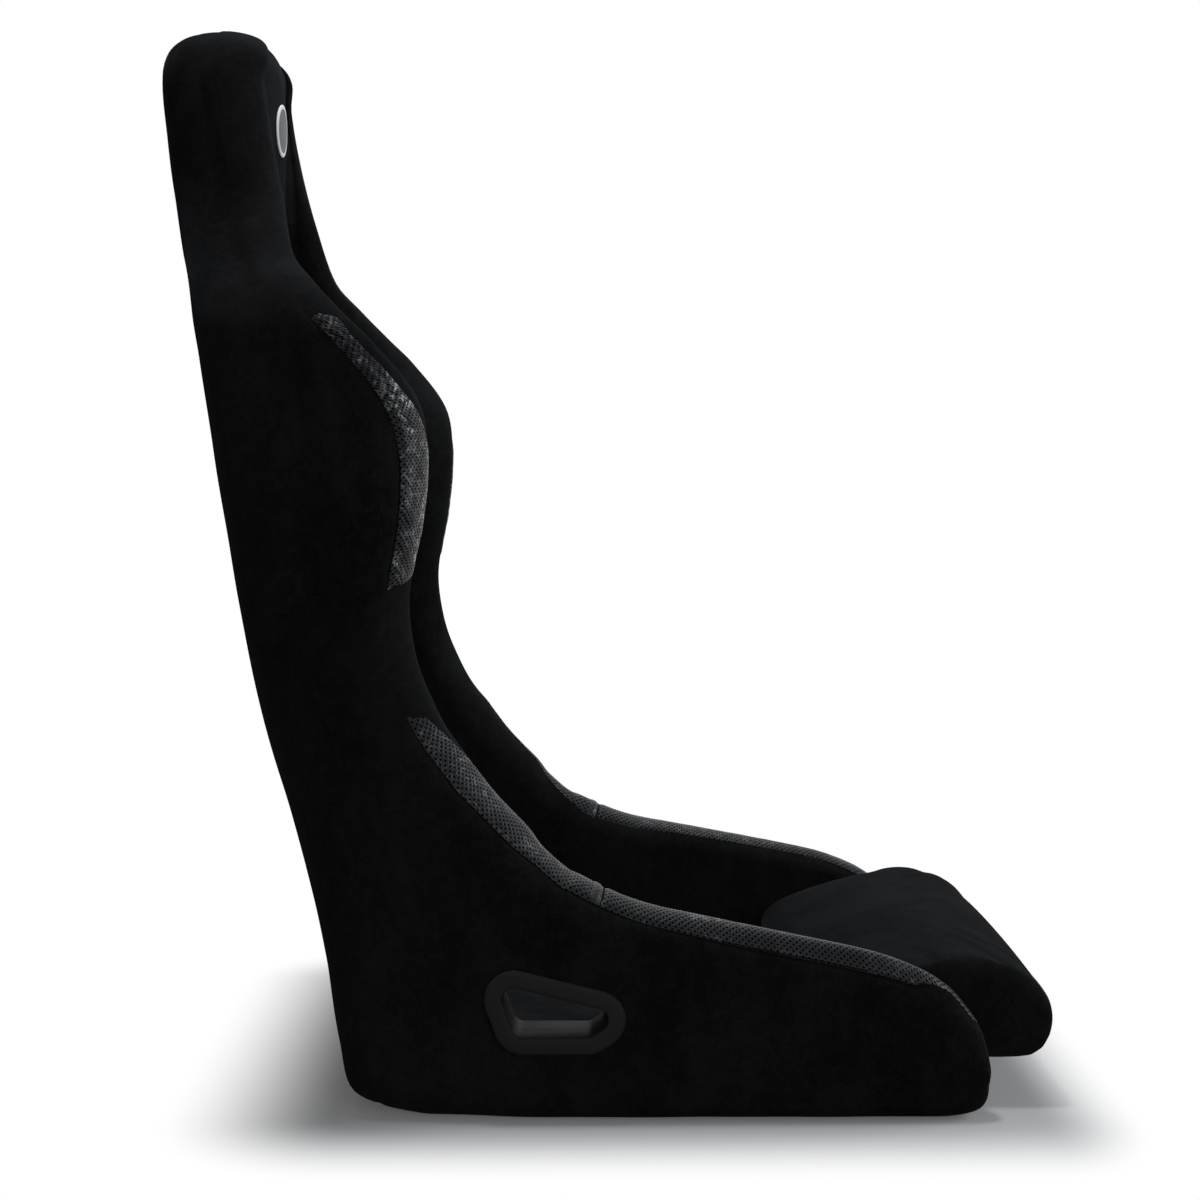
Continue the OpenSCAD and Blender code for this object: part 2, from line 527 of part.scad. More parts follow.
// Cuts a trim's end along a line seen from above the crest: [share of the width from the side, distance back]
module tip_cut(t, ahead, line) {
    s = station(t);
    n = len(line) - 1;
    xs = [for (q = line) mix(side(s), inner(s), q.x)];
    translate([0, s[1].x + reach(s) * s[2].x, s[1].y + reach(s) * s[2].y])
    rotate([atan2(-s[2].x, s[2].y), 0, 0])
    linear_extrude(300, center = true)
    polygon(concat([for (i = [0 : n]) [xs[i], -ahead * line[i].y]],
        [[xs[n], ahead * 90], [xs[0], ahead * 90]]));
}
module shoulder_trim(left)
    trim(left, 18.05, 23.3, -.08) {
        tip_cut(23.25, 1, [[-.5, 0], [0, 0], [.5, 4], [1.4, 12]]);
        tip_cut(18.1, -1, [[-.5, 0], [0, 0], [.7, 11], [1.4, 22]]);
    }
module hip_trim_rear(left)
    trim(left, T_TRIM + .01, 15.6, .7) tip_cut(15.55, 1, [[-.5, 0], [0, 0], [.3, 10], [.55, 28], [1.4, 98]]);
module hip_trim_front(left)
    trim(left, 2.1, T_TRIM - .01, .7)
    tip_cut(2.12, -1, [[-.5, 95], [0, 70], [.2, 32], [.35, 11], [.45, 0], [.6, 12], [1, 48], [1.4, 85]]);

// ---- harness slots ----
// Rounded outline of the lap slots, grown by g: [y, z] of the corners' centres
lap_slot_y = 79;
lap_slot_z = seat_pad + 17;
LAP_CORNERS = [[27, 10], [35, 32], [-34, 15], [-26, 10]];
LAP_R = 10;
module lap_outline(g)
    offset(r = LAP_R + g, $fn = 24)
    polygon([for (q = LAP_CORNERS) [lap_slot_y + q.x, lap_slot_z + q.y]]);
module along_x(from, to) translate([from, 0, 0]) rotate([90, 0, 90]) linear_extrude(to - from) children();
module lap_slots(g)
    for (left = [true, false])
        both_sides(left) along_x(hip - 90, hip + 20) lap_outline(g);
inner_wall = hip - 56;
collar_meet = hip - 28;
module lap_bezel_outer(left) {
    color([.1, .1, .11])
    both_sides(left)
    difference() {
        union() {
            along_x(hip + gap, hip + gap + flange_t - 1) lap_outline(lap_flange);
            along_x(hip + gap + flange_t - 1, hip + gap + flange_t) lap_outline(lap_flange - 1);
            along_x(collar_meet + gap, hip + gap + 1) lap_outline(collar_t);
        }
        along_x(collar_meet - 1, hip + 20) lap_outline(0);
    }
}
module lap_bezel_inner(left) {
    color([.1, .1, .11])
    both_sides(left)
    difference() {
        union() {
            along_x(inner_wall - 2 * gap - flange_t, inner_wall - 2 * gap) lap_outline(lap_flange / 2);
            along_x(inner_wall - 2 * gap - 1, collar_meet - gap) lap_outline(collar_t);
        }
        along_x(inner_wall - 40, collar_meet + 1) lap_outline(0);
    }
}

// Shoulder slots: local X runs across, local Y up the back, and local Z into the seat
module shoulder_outline(g)
    offset(r = 12 + g, $fn = 24)
    polygon([for (q = [[-.5, -.5], [.42, -.5], [.5, .5], [-.5, .5]])
        [q.x * (shoulder_slot_w - 24), q.y * (shoulder_slot_h - 24)]]);
SLOT = station(T_SLOT);
slot_lean = let (d = outline_of(at(T_SLOT + .5)) - outline_of(at(T_SLOT - .5))) atan(d.x / d.y);
slot_d = floor_d(SLOT, shoulder_slot_x);
slot_yaw = atan(2 * slot_d / shoulder_slot_x);
module at_slot(left)
    both_sides(left)
    translate([shoulder_slot_x, SLOT[1].x + slot_d * SLOT[2].x, SLOT[1].y + slot_d * SLOT[2].y])
    rotate([90 - slot_lean, 0, 0]) rotate([0, -slot_yaw, 0])
    children();
module shoulder_slots(g)
    for (left = [true, false])
        at_slot(left) translate([0, 0, -30]) linear_extrude(120) shoulder_outline(g);
panel_front = level(SLOT) - slot_d;
slot_meet = panel_front / 2;
slot_seat = .8;    // from the slot's plane on the back cover to the rear flange
slot_sink = 1.5;   // how deep the front flange is sunk into the harness panel
module shoulder_bezel_rear(left) {
    color([.1, .1, .11])
    at_slot(left)
    difference() {
        union() {
            translate([0, 0, -slot_seat - flange_t]) linear_extrude(1) shoulder_outline(shoulder_flange - 1);
            translate([0, 0, -slot_seat - flange_t + 1]) linear_extrude(flange_t - 1)
                shoulder_outline(shoulder_flange);
            translate([0, 0, -slot_seat - 1]) linear_extrude(slot_meet - gap + slot_seat + 1)
                shoulder_outline(collar_t);
        }
        translate([0, 0, -30]) linear_extrude(90) shoulder_outline(0);
    }
}
module shoulder_bezel_front(left) {
    color([.1, .1, .11])
    at_slot(left)
    difference() {
        union() {
            translate([0, 0, panel_front - slot_sink]) linear_extrude(flange_t - 1)
                shoulder_outline(shoulder_flange);
            translate([0, 0, panel_front - slot_sink + flange_t - 1]) linear_extrude(1)
                shoulder_outline(shoulder_flange - 1);
            translate([0, 0, slot_meet + gap]) linear_extrude(panel_front - slot_sink + 1 - slot_meet - gap)
                shoulder_outline(collar_t);
        }
        translate([0, 0, -30]) linear_extrude(120) shoulder_outline(0);
    }
}

// Crotch strap slot through the floor, ahead of the seat cushion's middle
strap_slot_y = -88;
module strap_outline(g)
    offset(r = 8 + g, $fn = 24) square([strap_slot_w - 16, strap_slot_l - 16], center = true);
module strap_slot(g, h) translate([0, strap_slot_y, -h]) linear_extrude(2 * h) strap_outline(g);
strap_flange = 7;
module strap_slot_bezel() {
    color([.1, .1, .11])
    translate([0, strap_slot_y, 0])
    difference() {
        union() {
            translate([0, 0, shell_t + gap]) linear_extrude(strip_t - gap) strap_outline(strap_flange);
            translate([0, 0, 1]) linear_extrude(shell_t + 1) strap_outline(collar_t);
        }
        translate([0, 0, -5]) linear_extrude(40) strap_outline(0);
    }
}

// ---- base mounting ----
insert_flange_r = insert_d / 2 + 4;
module at_bolts()
    for (x = [-1, 1], y = [-1, 1])
        translate([x * bolt_spacing_x / 2, y * bolt_spacing_y / 2, 0]) children();
module mount_plate(left) {
    color([.55, .56, .58])
    both_sides(left)
    difference() {
        translate([bolt_spacing_x / 2 - plate_w / 2, -plate_l / 2, shell_t + gap])
            cube([plate_w, plate_l, plate_t]);
        at_bolts() cylinder(d = insert_d + 2 * gap, h = 60, center = true);
    }
}
module mount_inserts()
    color([.7, .7, .72])
    at_bolts()
    difference() {
        union() {
            cylinder(d = insert_d, h = insert_h);
            translate([0, 0, shell_t + plate_t + 2 * gap]) cylinder(r = insert_flange_r, h = 2);
        }
        translate([0, 0, -1]) cylinder(d = bolt_d, h = insert_h + 2);
    }

// ---- badge ----
T_BADGE = 27.4;
module head_badge() {
    rise = badge_h / 2 / STEPS[27];
    color([.75, .75, .75])
    skin_over([for (q = [-1, -.92, -.75, -.5, -.25, 0, .25, .5, .75, .92, 1])
        let (s = station(T_BADGE + q * rise), w = max(badge_w / 2 * sqrt(1 - q * q), 3),
             across = [for (f = [-1, -.5, 0, .5, 1]) f * w])
        put(s, concat([for (x = across) [x, level_at(s, abs(x)) + gap]],
            reversed([for (x = across) [x, level_at(s, abs(x)) + gap + badge_t]])))]);
}

shell();
back_cover();
side_cover(true);  // side_cover_left
side_cover(false);  // side_cover_right
headrest_cap();
headrest_pad();
harness_panel();
back_cushion();
lumbar_cushion();
seat_cushion();
thigh_cushion();
shoulder_bolster(true);  // shoulder_bolster_left
shoulder_bolster(false);  // shoulder_bolster_right
hip_bolster(true);  // hip_bolster_left
hip_bolster(false);  // hip_bolster_right
shoulder_trim(true);  // shoulder_trim_left
shoulder_trim(false);  // shoulder_trim_right
hip_trim_rear(true);  // hip_trim_rear_left
hip_trim_rear(false);  // hip_trim_rear_right
hip_trim_front(true);  // hip_trim_front_left
hip_trim_front(false);  // hip_trim_front_right
lap_bezel_outer(true);  // lap_bezel_outer_left
lap_bezel_outer(false);  // lap_bezel_outer_right
lap_bezel_inner(true);  // lap_bezel_inner_left
lap_bezel_inner(false);  // lap_bezel_inner_right
shoulder_bezel_rear(true);  // shoulder_bezel_rear_left
shoulder_bezel_rear(false);  // shoulder_bezel_rear_right
shoulder_bezel_front(true);  // shoulder_bezel_front_left
shoulder_bezel_front(false);  // shoulder_bezel_front_right
strap_slot_bezel();
mount_plate(true);  // mount_plate_left
mount_plate(false);  // mount_plate_right
mount_inserts();
hook_loop_strips();
head_badge();
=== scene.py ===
import math
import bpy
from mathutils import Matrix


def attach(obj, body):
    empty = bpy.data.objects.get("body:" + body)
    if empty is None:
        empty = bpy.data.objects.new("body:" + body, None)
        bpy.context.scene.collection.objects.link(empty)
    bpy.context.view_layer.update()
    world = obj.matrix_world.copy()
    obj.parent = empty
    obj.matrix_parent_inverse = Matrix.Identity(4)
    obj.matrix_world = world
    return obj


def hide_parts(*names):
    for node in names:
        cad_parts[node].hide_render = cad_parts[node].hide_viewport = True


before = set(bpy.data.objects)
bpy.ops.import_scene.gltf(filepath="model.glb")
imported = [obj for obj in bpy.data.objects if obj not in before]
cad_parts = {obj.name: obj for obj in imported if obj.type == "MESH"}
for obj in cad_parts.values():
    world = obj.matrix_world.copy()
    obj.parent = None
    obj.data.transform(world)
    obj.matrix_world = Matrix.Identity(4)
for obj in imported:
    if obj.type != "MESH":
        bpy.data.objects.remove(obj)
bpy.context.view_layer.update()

from types import SimpleNamespace

import bmesh
import bpy
import numpy as np
from bpy.props import FloatProperty, FloatVectorProperty, PointerProperty
from bpy.types import Operator, Panel, PropertyGroup
from mathutils import Vector, noise

bl_info = {
    "name": "Racing Seat Upholstery",
    "version": (1, 0, 0),
    "blender": (4, 5, 0),
    "location": "3D View > Sidebar > Seat",
    "description": "Upholsters a racing seat in suede and perforated leather, around its packed model",
    "category": "Object",
}

MM = 0.001
BODY = "root"
SEAM_BAND = 0.009        # width of the sewn band on the leather, in metres


# ---------------------------------------------------------------- sizes and colours

class SeatSizes(PropertyGroup):
    """Sizes of the sewing and of the moulded edges."""
    seam_depth: FloatProperty(name="Seam depth", description="How deep the covers dip at a seam",
                              default=0.0016, unit="LENGTH")
    seam_width: FloatProperty(name="Seam width", description="How far from a seam the cover starts to dip",
                              default=0.0030, unit="LENGTH")
    cover_thickness: FloatProperty(name="Cover thickness", description="Thickness of the fabric covers",
                                   default=0.0016, unit="LENGTH")
    ring_step: FloatProperty(name="Mesh step", description="Distance between the rings of the covers",
                             default=0.0065, unit="LENGTH")
    hole_pitch: FloatProperty(name="Perforation pitch", default=0.0054, unit="LENGTH",
                              description="Distance between the holes in the leather")
    hole_width: FloatProperty(name="Perforation width", description="Width of the holes in the leather",
                              default=0.0019, unit="LENGTH")
    camera_distance: FloatProperty(name="Camera distance", default=2.2, unit="LENGTH",
                                   description="From the camera to the middle of the seat")


class SeatColours(PropertyGroup):
    """Colours of the seat and of the room round it."""
    suede: FloatVectorProperty(name="Suede", description="Colour of the suede covers",
                               subtype="COLOR", size=3, default=(0.0064, 0.0064, 0.0064))
    leather: FloatVectorProperty(name="Leather", description="Colour of the perforated leather",
                                 subtype="COLOR", size=3, default=(0.0108, 0.0115, 0.0135))
    plastic: FloatVectorProperty(name="Plastic", description="Colour of the slots' bezels", subtype="COLOR",
                                 size=3, default=(0.0078, 0.0078, 0.0073))
    laminate: FloatVectorProperty(name="Laminate", description="Colour of the shell", subtype="COLOR",
                                  size=3, default=(0.012, 0.012, 0.013))
    ring: FloatVectorProperty(name="Badge ring", description="Colour of the ring round the badge",
                              subtype="COLOR", size=3, default=(0.72, 0.72, 0.72))
    floor: FloatVectorProperty(name="Floor", description="Colour of the floor", subtype="COLOR", size=3,
                               default=(0.82, 0.82, 0.82))


# ---------------------------------------------------------------- shader helpers

class Value:
    """A shader socket that can be used in Python expressions on numbers."""

    def __init__(self, shader, socket):
        self.shader, self.socket = shader, socket

    def _math(self, operation, *values):
        return self.shader.node("ShaderNodeMath", {"operation": operation}, dict(enumerate(values)))

    def __add__(self, other): return self._math("ADD", self, other)
    def __radd__(self, other): return self._math("ADD", other, self)
    def __sub__(self, other): return self._math("SUBTRACT", self, other)
    def __rsub__(self, other): return self._math("SUBTRACT", other, self)
    def __mul__(self, other): return self._math("MULTIPLY", self, other)
    def __rmul__(self, other): return self._math("MULTIPLY", other, self)
    def __truediv__(self, other): return self._math("DIVIDE", self, other)
    def __rtruediv__(self, other): return self._math("DIVIDE", other, self)
    def __mod__(self, other): return self._math("FLOORED_MODULO", self, other)
    def __abs__(self): return self._math("ABSOLUTE", self)
    def least(self, other): return self._math("MINIMUM", self, other)
    def most(self, other): return self._math("MAXIMUM", self, other)
    def root(self): return self._math("SQRT", self)

    def ramp(self, low, high, from_value=0.0, to_value=1.0):
        """Smooth step from one value to another between two levels."""
        return self.shader.node("ShaderNodeMapRange", {"interpolation_type": "SMOOTHSTEP"},
                                {0: self, 1: low, 2: high, 3: from_value, 4: to_value})


class Shader:
    """Builds the node tree of a new material or world."""

    def __init__(self, name, kind="Material"):
        blocks = {"Material": bpy.data.materials, "World": bpy.data.worlds}[kind]
        self.owner = blocks.new(name)
        self.owner.use_nodes = True
        self.tree = self.owner.node_tree
        self.tree.nodes.clear()
        self.output = self.tree.nodes.new("ShaderNodeOutput" + kind)

    def node(self, kind, settings=None, inputs=None, output=0):
        """Adds a node, sets it up, and fills its sockets with numbers or links."""
        made = self.tree.nodes.new(kind)
        for key, value in (settings or {}).items():
            setattr(made, key, value)
        for key, value in (inputs or {}).items():
            socket = made.inputs[key]
            if isinstance(value, Value):
                self.tree.links.new(value.socket, socket)
            elif socket.type == "RGBA" and len(value) == 3:
                socket.default_value = (*value, 1.0)
            else:
                socket.default_value = value
        return Value(self, made.outputs[output])

    def mix(self, factor, first, second):
        """Mixes two colours."""
        return self.node("ShaderNodeMix", {"data_type": "RGBA"}, {0: factor, 6: first, 7: second}, output=2)

    def mix_surfaces(self, factor, first, second):
        return self.node("ShaderNodeMixShader", {}, {0: factor, 1: first, 2: second})

    def place(self, stretch=(1.0, 1.0, 1.0)):
        """The surface's place in metres, stretched."""
        where = self.node("ShaderNodeTexCoord", output="Object")
        return self.node("ShaderNodeVectorMath", {"operation": "MULTIPLY"}, {0: where, 1: stretch})

    def part(self, vector, axis):
        """One axis of a vector."""
        return self.node("ShaderNodeSeparateXYZ", {}, {0: vector}, axis)

    def chart(self, axis):
        """One axis of the surface's own flat map, in metres."""
        return self.part(self.node("ShaderNodeUVMap", {"uv_map": "Chart"}), axis)

    def noise(self, where, scale, detail, rough, warp=0.0):
        return self.node("ShaderNodeTexNoise", {}, {"Vector": where, "Scale": scale, "Detail": detail,
                                                    "Roughness": rough, "Distortion": warp})

    def cells(self, where, scale):
        return self.node("ShaderNodeTexVoronoi", {}, {"Vector": where, "Scale": scale})

    def bump(self, height, distance, strength, under=None):
        inputs = {"Height": height, "Distance": distance, "Strength": strength}
        if under is not None:
            inputs["Normal"] = under
        return self.node("ShaderNodeBump", {}, inputs)

    def seen(self):
        """1 for what shows, directly, in a gloss or through glass, and 0 for the rest of the light."""
        straight, glossy, passed = (self.node("ShaderNodeLightPath", output=f"Is {ray} Ray")
                                    for ray in ("Camera", "Glossy", "Transmission"))
        return straight.most(glossy).most(passed)

    def principled(self, **sockets):
        """A Principled shader whose sockets are given by name."""
        names = {key.replace("_", " "): value for key, value in sockets.items()}
        return self.node("ShaderNodeBsdfPrincipled", {}, names)

    def end(self, surface):
        self.tree.links.new(surface.socket, self.output.inputs["Surface"])
        return self.owner

    def finish(self, **sockets):
        """Ends the tree in one Principled shader."""
        return self.end(self.principled(**sockets))


def tint(colour, factor):
    return tuple(min(1.0, c * factor) for c in colour)


def suede(name, colours):
    """Short black nap with brush marks and a soft sheen."""
    s = Shader(name)
    where = s.place()
    brushed = s.noise(s.place((1.0, 1.0, 0.45)), 16.0, 3.0, 0.55, 0.4).ramp(0.35, 0.68)
    cloudy = s.noise(where, 5.0, 2.0, 0.5, 0.6).ramp(0.3, 0.7)
    fibre = s.noise(where, 900.0, 2.0, 0.7)
    tufts = s.noise(where, 260.0, 3.0, 0.6, 0.5)
    stroked = s.noise(where, 75.0, 3.0, 0.6, 1.0).ramp(0.35, 0.68)
    tone = 0.28 * brushed + 0.15 * cloudy + 0.22 * stroked + 0.35 * fibre.ramp(0.34, 0.66)
    colour = s.mix(tone, tint(colours.suede, 0.35), tint(colours.suede, 2.05))
    height = 0.6 * fibre + 0.5 * tufts + 0.25 * brushed
    return s.finish(Base_Color=colour, Roughness=0.86 + 0.12 * tone,
                    Normal=s.bump(height, 0.00045, 0.55),
                    Specular_IOR_Level=0.0, Sheen_Weight=0.03, Sheen_Roughness=0.5,
                    Sheen_Tint=(0.80, 0.85, 0.95, 1.0))


def perforated_leather(name, colours, sizes, creases):
    """Grained leather with staggered rows of punched holes; its map is in metres."""
    s = Shader(name)
    across, along = s.chart("X"), s.chart("Y")
    pitch, wide = sizes.hole_pitch, sizes.hole_width

    def punched(shift):
        a = (across + shift * pitch / 2) % pitch - pitch / 2
        b = (along + shift * pitch / 2) % pitch - pitch / 2
        return (a * a + b * b).root()

    distance = punched(0.0).least(punched(1.0))
    # the sewn band where the two hip patches meet has no holes
    band = along.ramp(-0.0004, 0.0) * along.ramp(SEAM_BAND - 0.0002, SEAM_BAND + 0.0002, 1.0, 0.0)
    hole = distance.ramp(0.42 * wide, 0.56 * wide, 1.0, 0.0) * (1.0 - band)
    lip = distance.ramp(0.45 * wide, 1.15 * wide)
    where = s.place()
    grain = s.cells(where, 850.0)
    pebble = s.noise(where, 420.0, 3.0, 0.6)
    worn = s.noise(where, 22.0, 3.0, 0.6, 0.5)
    creased = s.noise(where, 95.0, 3.0, 0.55, 1.6)
    colour = s.mix(worn.ramp(0.3, 0.75), tint(colours.leather, 0.72), tint(colours.leather, 1.3))
    fine = s.bump(0.6 * grain + 0.4 * pebble, 0.00030, 0.6)
    soft = s.bump(creased, 0.0010 * creases, 0.6, fine)
    shine = creased.ramp(0.50, 0.62) * worn.ramp(0.40, 0.56)
    hide = s.principled(Base_Color=colour, Roughness=0.24 + 0.12 * pebble + 0.10 * worn,
                        Normal=s.bump(lip, 0.0004, 0.5, soft), Specular_IOR_Level=0.09,
                        Coat_Weight=(0.6 * creases) * shine, Coat_Roughness=0.16)
    # painted shade: the holes are a near-black matte, the dark backing seen through them together with shade
    # painted into their depth
    below = s.node("ShaderNodeBsdfDiffuse", {}, {"Color": (0.0006, 0.0006, 0.0006)})
    return s.end(s.mix_surfaces(hole, hide, below))


def moulded_plastic(name, colours):
    """Satin plastic with a fine spark-eroded grain."""
    s = Shader(name)
    where = s.place()
    spark = s.noise(where, 1300.0, 2.0, 0.6)
    patch = s.noise(where, 35.0, 2.0, 0.5)
    colour = s.mix(patch, tint(colours.plastic, 0.8), tint(colours.plastic, 1.25))
    return s.finish(Base_Color=colour, Roughness=0.42 + 0.12 * patch + 0.08 * spark,
                    Normal=s.bump(spark, 0.00012, 0.5), Specular_IOR_Level=0.07)


def moulded_laminate(name, colours):
    """Dark gelcoat over chopped glass strands that show through a little."""
    s = Shader(name)
    where = s.place()
    strands = s.noise(s.place((1.0, 0.3, 1.0)), 240.0, 2.0, 0.6, 1.2)
    crossed = s.noise(s.place((0.3, 1.0, 1.0)), 240.0, 2.0, 0.6, 1.2)
    cloud = s.noise(where, 18.0, 3.0, 0.6)
    print_through = strands.most(crossed)
    colour = s.mix(cloud, tint(colours.laminate, 0.7), tint(colours.laminate, 1.5))
    return s.finish(Base_Color=colour, Roughness=0.30 + 0.25 * cloud,
                    Normal=s.bump(print_through, 0.00035, 0.5), Coat_Weight=0.15)


def rolled_steel(name, base, roughness, stretch):
    """Zinc-plated steel with fine rolling marks and a faint bloom."""
    s = Shader(name)
    marks = s.noise(s.place(stretch), 500.0, 3.0, 0.6)
    bloom = s.noise(s.place(), 60.0, 3.0, 0.6, 0.6)
    colour = s.mix(bloom, tint(base, 0.75), tint(base, 1.1))
    return s.finish(Base_Color=colour, Metallic=1.0, Roughness=roughness + 0.15 * bloom + 0.08 * marks,
                    Normal=s.bump(marks, 0.00012, 0.35))


def looped_strip(name):
    """The soft side of hook and loop tape."""
    s = Shader(name)
    loops = s.cells(s.place(), 700.0)
    fuzz = s.noise(s.place(), 1500.0, 2.0, 0.7)
    colour = s.mix(fuzz, (0.004, 0.004, 0.004), (0.020, 0.020, 0.021))
    return s.finish(Base_Color=colour, Roughness=0.9 + 0.08 * fuzz, Normal=s.bump(loops, 0.0006, 0.7),
                    Specular_IOR_Level=0.15)


# ---------------------------------------------------------------- sections of the seat, in millimetres

# Half-widths, then how far the sections reach from the outline to the crest, and how far the wings curl in
HIP, WAIST, SHOULDER, HEAD = 272.0, 247.0, 268.0, 142.0
HIP_REACH, WAIST_REACH, WING_REACH, HEAD_DEPTH, CURL = 185.0, 145.0, 189.0, 104.0, 66.0
# Heights of the cushions over the outline, and the crown in their middle
SEAT_PAD, BACK_PAD, CROWN = 56.0, 50.0, 8.0
# Covers, clearance and laminate; how far a bolster wraps over the rim, and the rim's distance below the
# crest
COVER, GAP, SHELL, WRAP, RIM_DROP = 2.0, 0.3, 4.0, 20.0, 9.0


def row(y, z, tilt, reach, half, widths, *rest):
    """A row of the table, whose four half-widths are given from one of the seat's own."""
    return [y, z, tilt, reach, *(half + width for width in widths), *rest]


# The outline's y and z, the section's tilt and reach, half-widths, corner radius, outer and inner roll, the
# cushion's level and crown, the floor's lift, and the share of the wrap at which the outer seam lies
COLUMNS = ("y", "z", "tilt", "reach", "side", "crest", "inner", "foot", "corner", "roll", "inner_roll",
           "level", "crown", "lift", "wrap")
ROWS = np.array([
    # rounded front end of the side walls
    row(-288, 24, 90, 22, HIP, (-10, -17, -26, -24), 9, 11, 9, 11, 0, 30, .65),
    row(-286, 13, 90, 44, HIP, (-6, -16, -31, -29), 10, 20, 15, 22, 0, 30, .65),
    row(-280, 6, 90, 69, HIP, (-3, -16, -34, -32), 11, 29, 17, 40, 0, 25, .7),
    row(-268, 2, 90, 91, HIP, (-1, -16, -36, -34), 12, 30, 18, SEAT_PAD - 6, 0, 24, .8),
    row(-250, 0, 90, 113, HIP, (0, -15, -37, -37), 12, 30, 20, SEAT_PAD, 0, 19, .5),
    # pan
    row(-215, 0, 90, 132, HIP, (0, -15, -38, -40), 12, 30, 20, SEAT_PAD, CROWN / 2, 7, .7),
    row(-180, 0, 90, HIP_REACH - 42, HIP, (0, -16, -38, -44), 12, 30, 20, SEAT_PAD, CROWN, 0, .75),
    row(-45, 0, 85, HIP_REACH - 17, HIP, (0, -22, -47, -51), 12, 31, 22, SEAT_PAD, CROWN, 0, .72),
    row(45, 0, 78, HIP_REACH, HIP, (0, -29, -56, -56), 12, 33, 24, SEAT_PAD, CROWN, 0, .6),
    row(120, 0, 69, HIP_REACH + 25, HIP, (0, -35, -58, -58), 16, 36, 28, SEAT_PAD, CROWN, 0, .58),
    row(190, 0, 59, HIP_REACH + 55, HIP, (-1, -40, -62, -64), 26, 38, 30, SEAT_PAD, CROWN, 0, .55),
    # heel and lower back
    row(253, 14, 52.5, HIP_REACH + 82, HIP, (-3, -43, -68, -82), 38, 40, 32, SEAT_PAD, CROWN, 0, .55),
    row(270, 55, 48.5, WAIST_REACH + 106, HIP, (-6, -46, -71, -94), 44, 42, 34, BACK_PAD + 2, CROWN, 0, .8),
    row(283, 118, 45, WAIST_REACH + 71, WAIST, (15, -23, -50, -77), 50, 42, 34, BACK_PAD, CROWN, 0, .85),
    row(297, 180, 39, WAIST_REACH + 43, WAIST, (11, -26, -55, -83), 54, 42, 34, BACK_PAD, CROWN, 0, 1.05),
    row(319, 258, 24.5, WAIST_REACH + 18, WAIST, (5, -29, -60, -89), 60, 42, 34, BACK_PAD, CROWN, 0, 1.1),
    row(340, 325, 13.5, WAIST_REACH + 11, WAIST, (1, -31, -64, -93), 64, 42, 34, BACK_PAD, CROWN, 0, 1.2),
    # waist and shoulder wings
    row(351.5, 378, 6.5, WAIST_REACH + 8, WAIST, (0, -32, -67, -95), 64, 44, 36, BACK_PAD, CROWN, 0, 1.05),
    row(360, 425, 6, WAIST_REACH + 12, WAIST, (3, -39, -73, -96), 64, 50, 40, BACK_PAD, CROWN, 0, .85),
    row(369, 490, 6, WING_REACH - 11, SHOULDER, (-10, -CURL - 8, -104, -117),
        64, 62, 44, BACK_PAD, CROWN, 0, .92),
    row(377, 545, 6, WING_REACH + .5, SHOULDER, (-4, -CURL - 6, -102, -116),
        64, 66, 46, BACK_PAD, CROWN, 0, 1.05),
    row(382.5, 590, 6, WING_REACH - 2.5, SHOULDER, (0, -CURL + 16, -88, -114),
        64, 60, 46, BACK_PAD - 2, CROWN, 0, 1.35),
    row(389.5, 640, 5.5, WING_REACH - 31, SHOULDER, (2, -18, -63, -110),
        62, 44, 42, BACK_PAD - 8, CROWN / 2, 0, 1.4),
    row(394.8, 670, 4, WING_REACH - 50.7, SHOULDER, (-4, -18, -63, -110),
        58, 38, 40, BACK_PAD - 10, 0, 0, 1.45),
    row(401, 702, 2, WING_REACH - 70.5, SHOULDER, (-30, -42, -82, -120),
        52, 34, 36, BACK_PAD - 8, 0, 0, 1.45),
    # neck and head part
    row(412.5, 735, -1, HEAD_DEPTH + 4, HEAD, (52, 38, 8, -12),
        46, 34, 30, HEAD_DEPTH - 47, CROWN / 2, 0, 1.45),
    row(424.5, 785, 0, HEAD_DEPTH + 2, HEAD, (12, -13, -30, -44),
        40, 36, 16, HEAD_DEPTH - 26, CROWN / 2, 0, 1.45),
    row(430.5, 840, -1, HEAD_DEPTH - 4, HEAD, (0, -32, -46, -60), 38, 40, 6, HEAD_DEPTH - 16.5, 6, 0, 1.45),
    row(433.5, 895, -1, HEAD_DEPTH - 9, HEAD, (-8, -42, -55, -70), 38, 42, 4, HEAD_DEPTH - 12, 6.5, 0, 1.45),
    # top of the head part
    row(427.5, 917, 0, HEAD_DEPTH - 12.5, HEAD, (-20, -54, -66, -82), 34, 36, 4, HEAD_DEPTH - 17, 4, 0, 1.3),
    row(414.5, 931, 0, HEAD_DEPTH - 33, HEAD, (-41, -71, -83, -98), 26, 28, 3, HEAD_DEPTH - 35, 2, 0, 1),
    row(400, 940.5, 0, HEAD_DEPTH - 67, HEAD, (-75, -95, -103, -113), 16, 16, 2, HEAD_DEPTH - 68.5, 1, 0, .6),
    row(391, 944, 0, HEAD_DEPTH - 88, HEAD, (-113, -122, -126, -130), 7, 7, 1, HEAD_DEPTH - 88.4, .3, 0, .3),
    [383, 944.5, 0, 1.2, 4, 2.6, 2.0, 1.4, 0.7, 0.6, 0.2, 1.1, 0, 0, .3],
], float)
LAST = len(ROWS) - 1

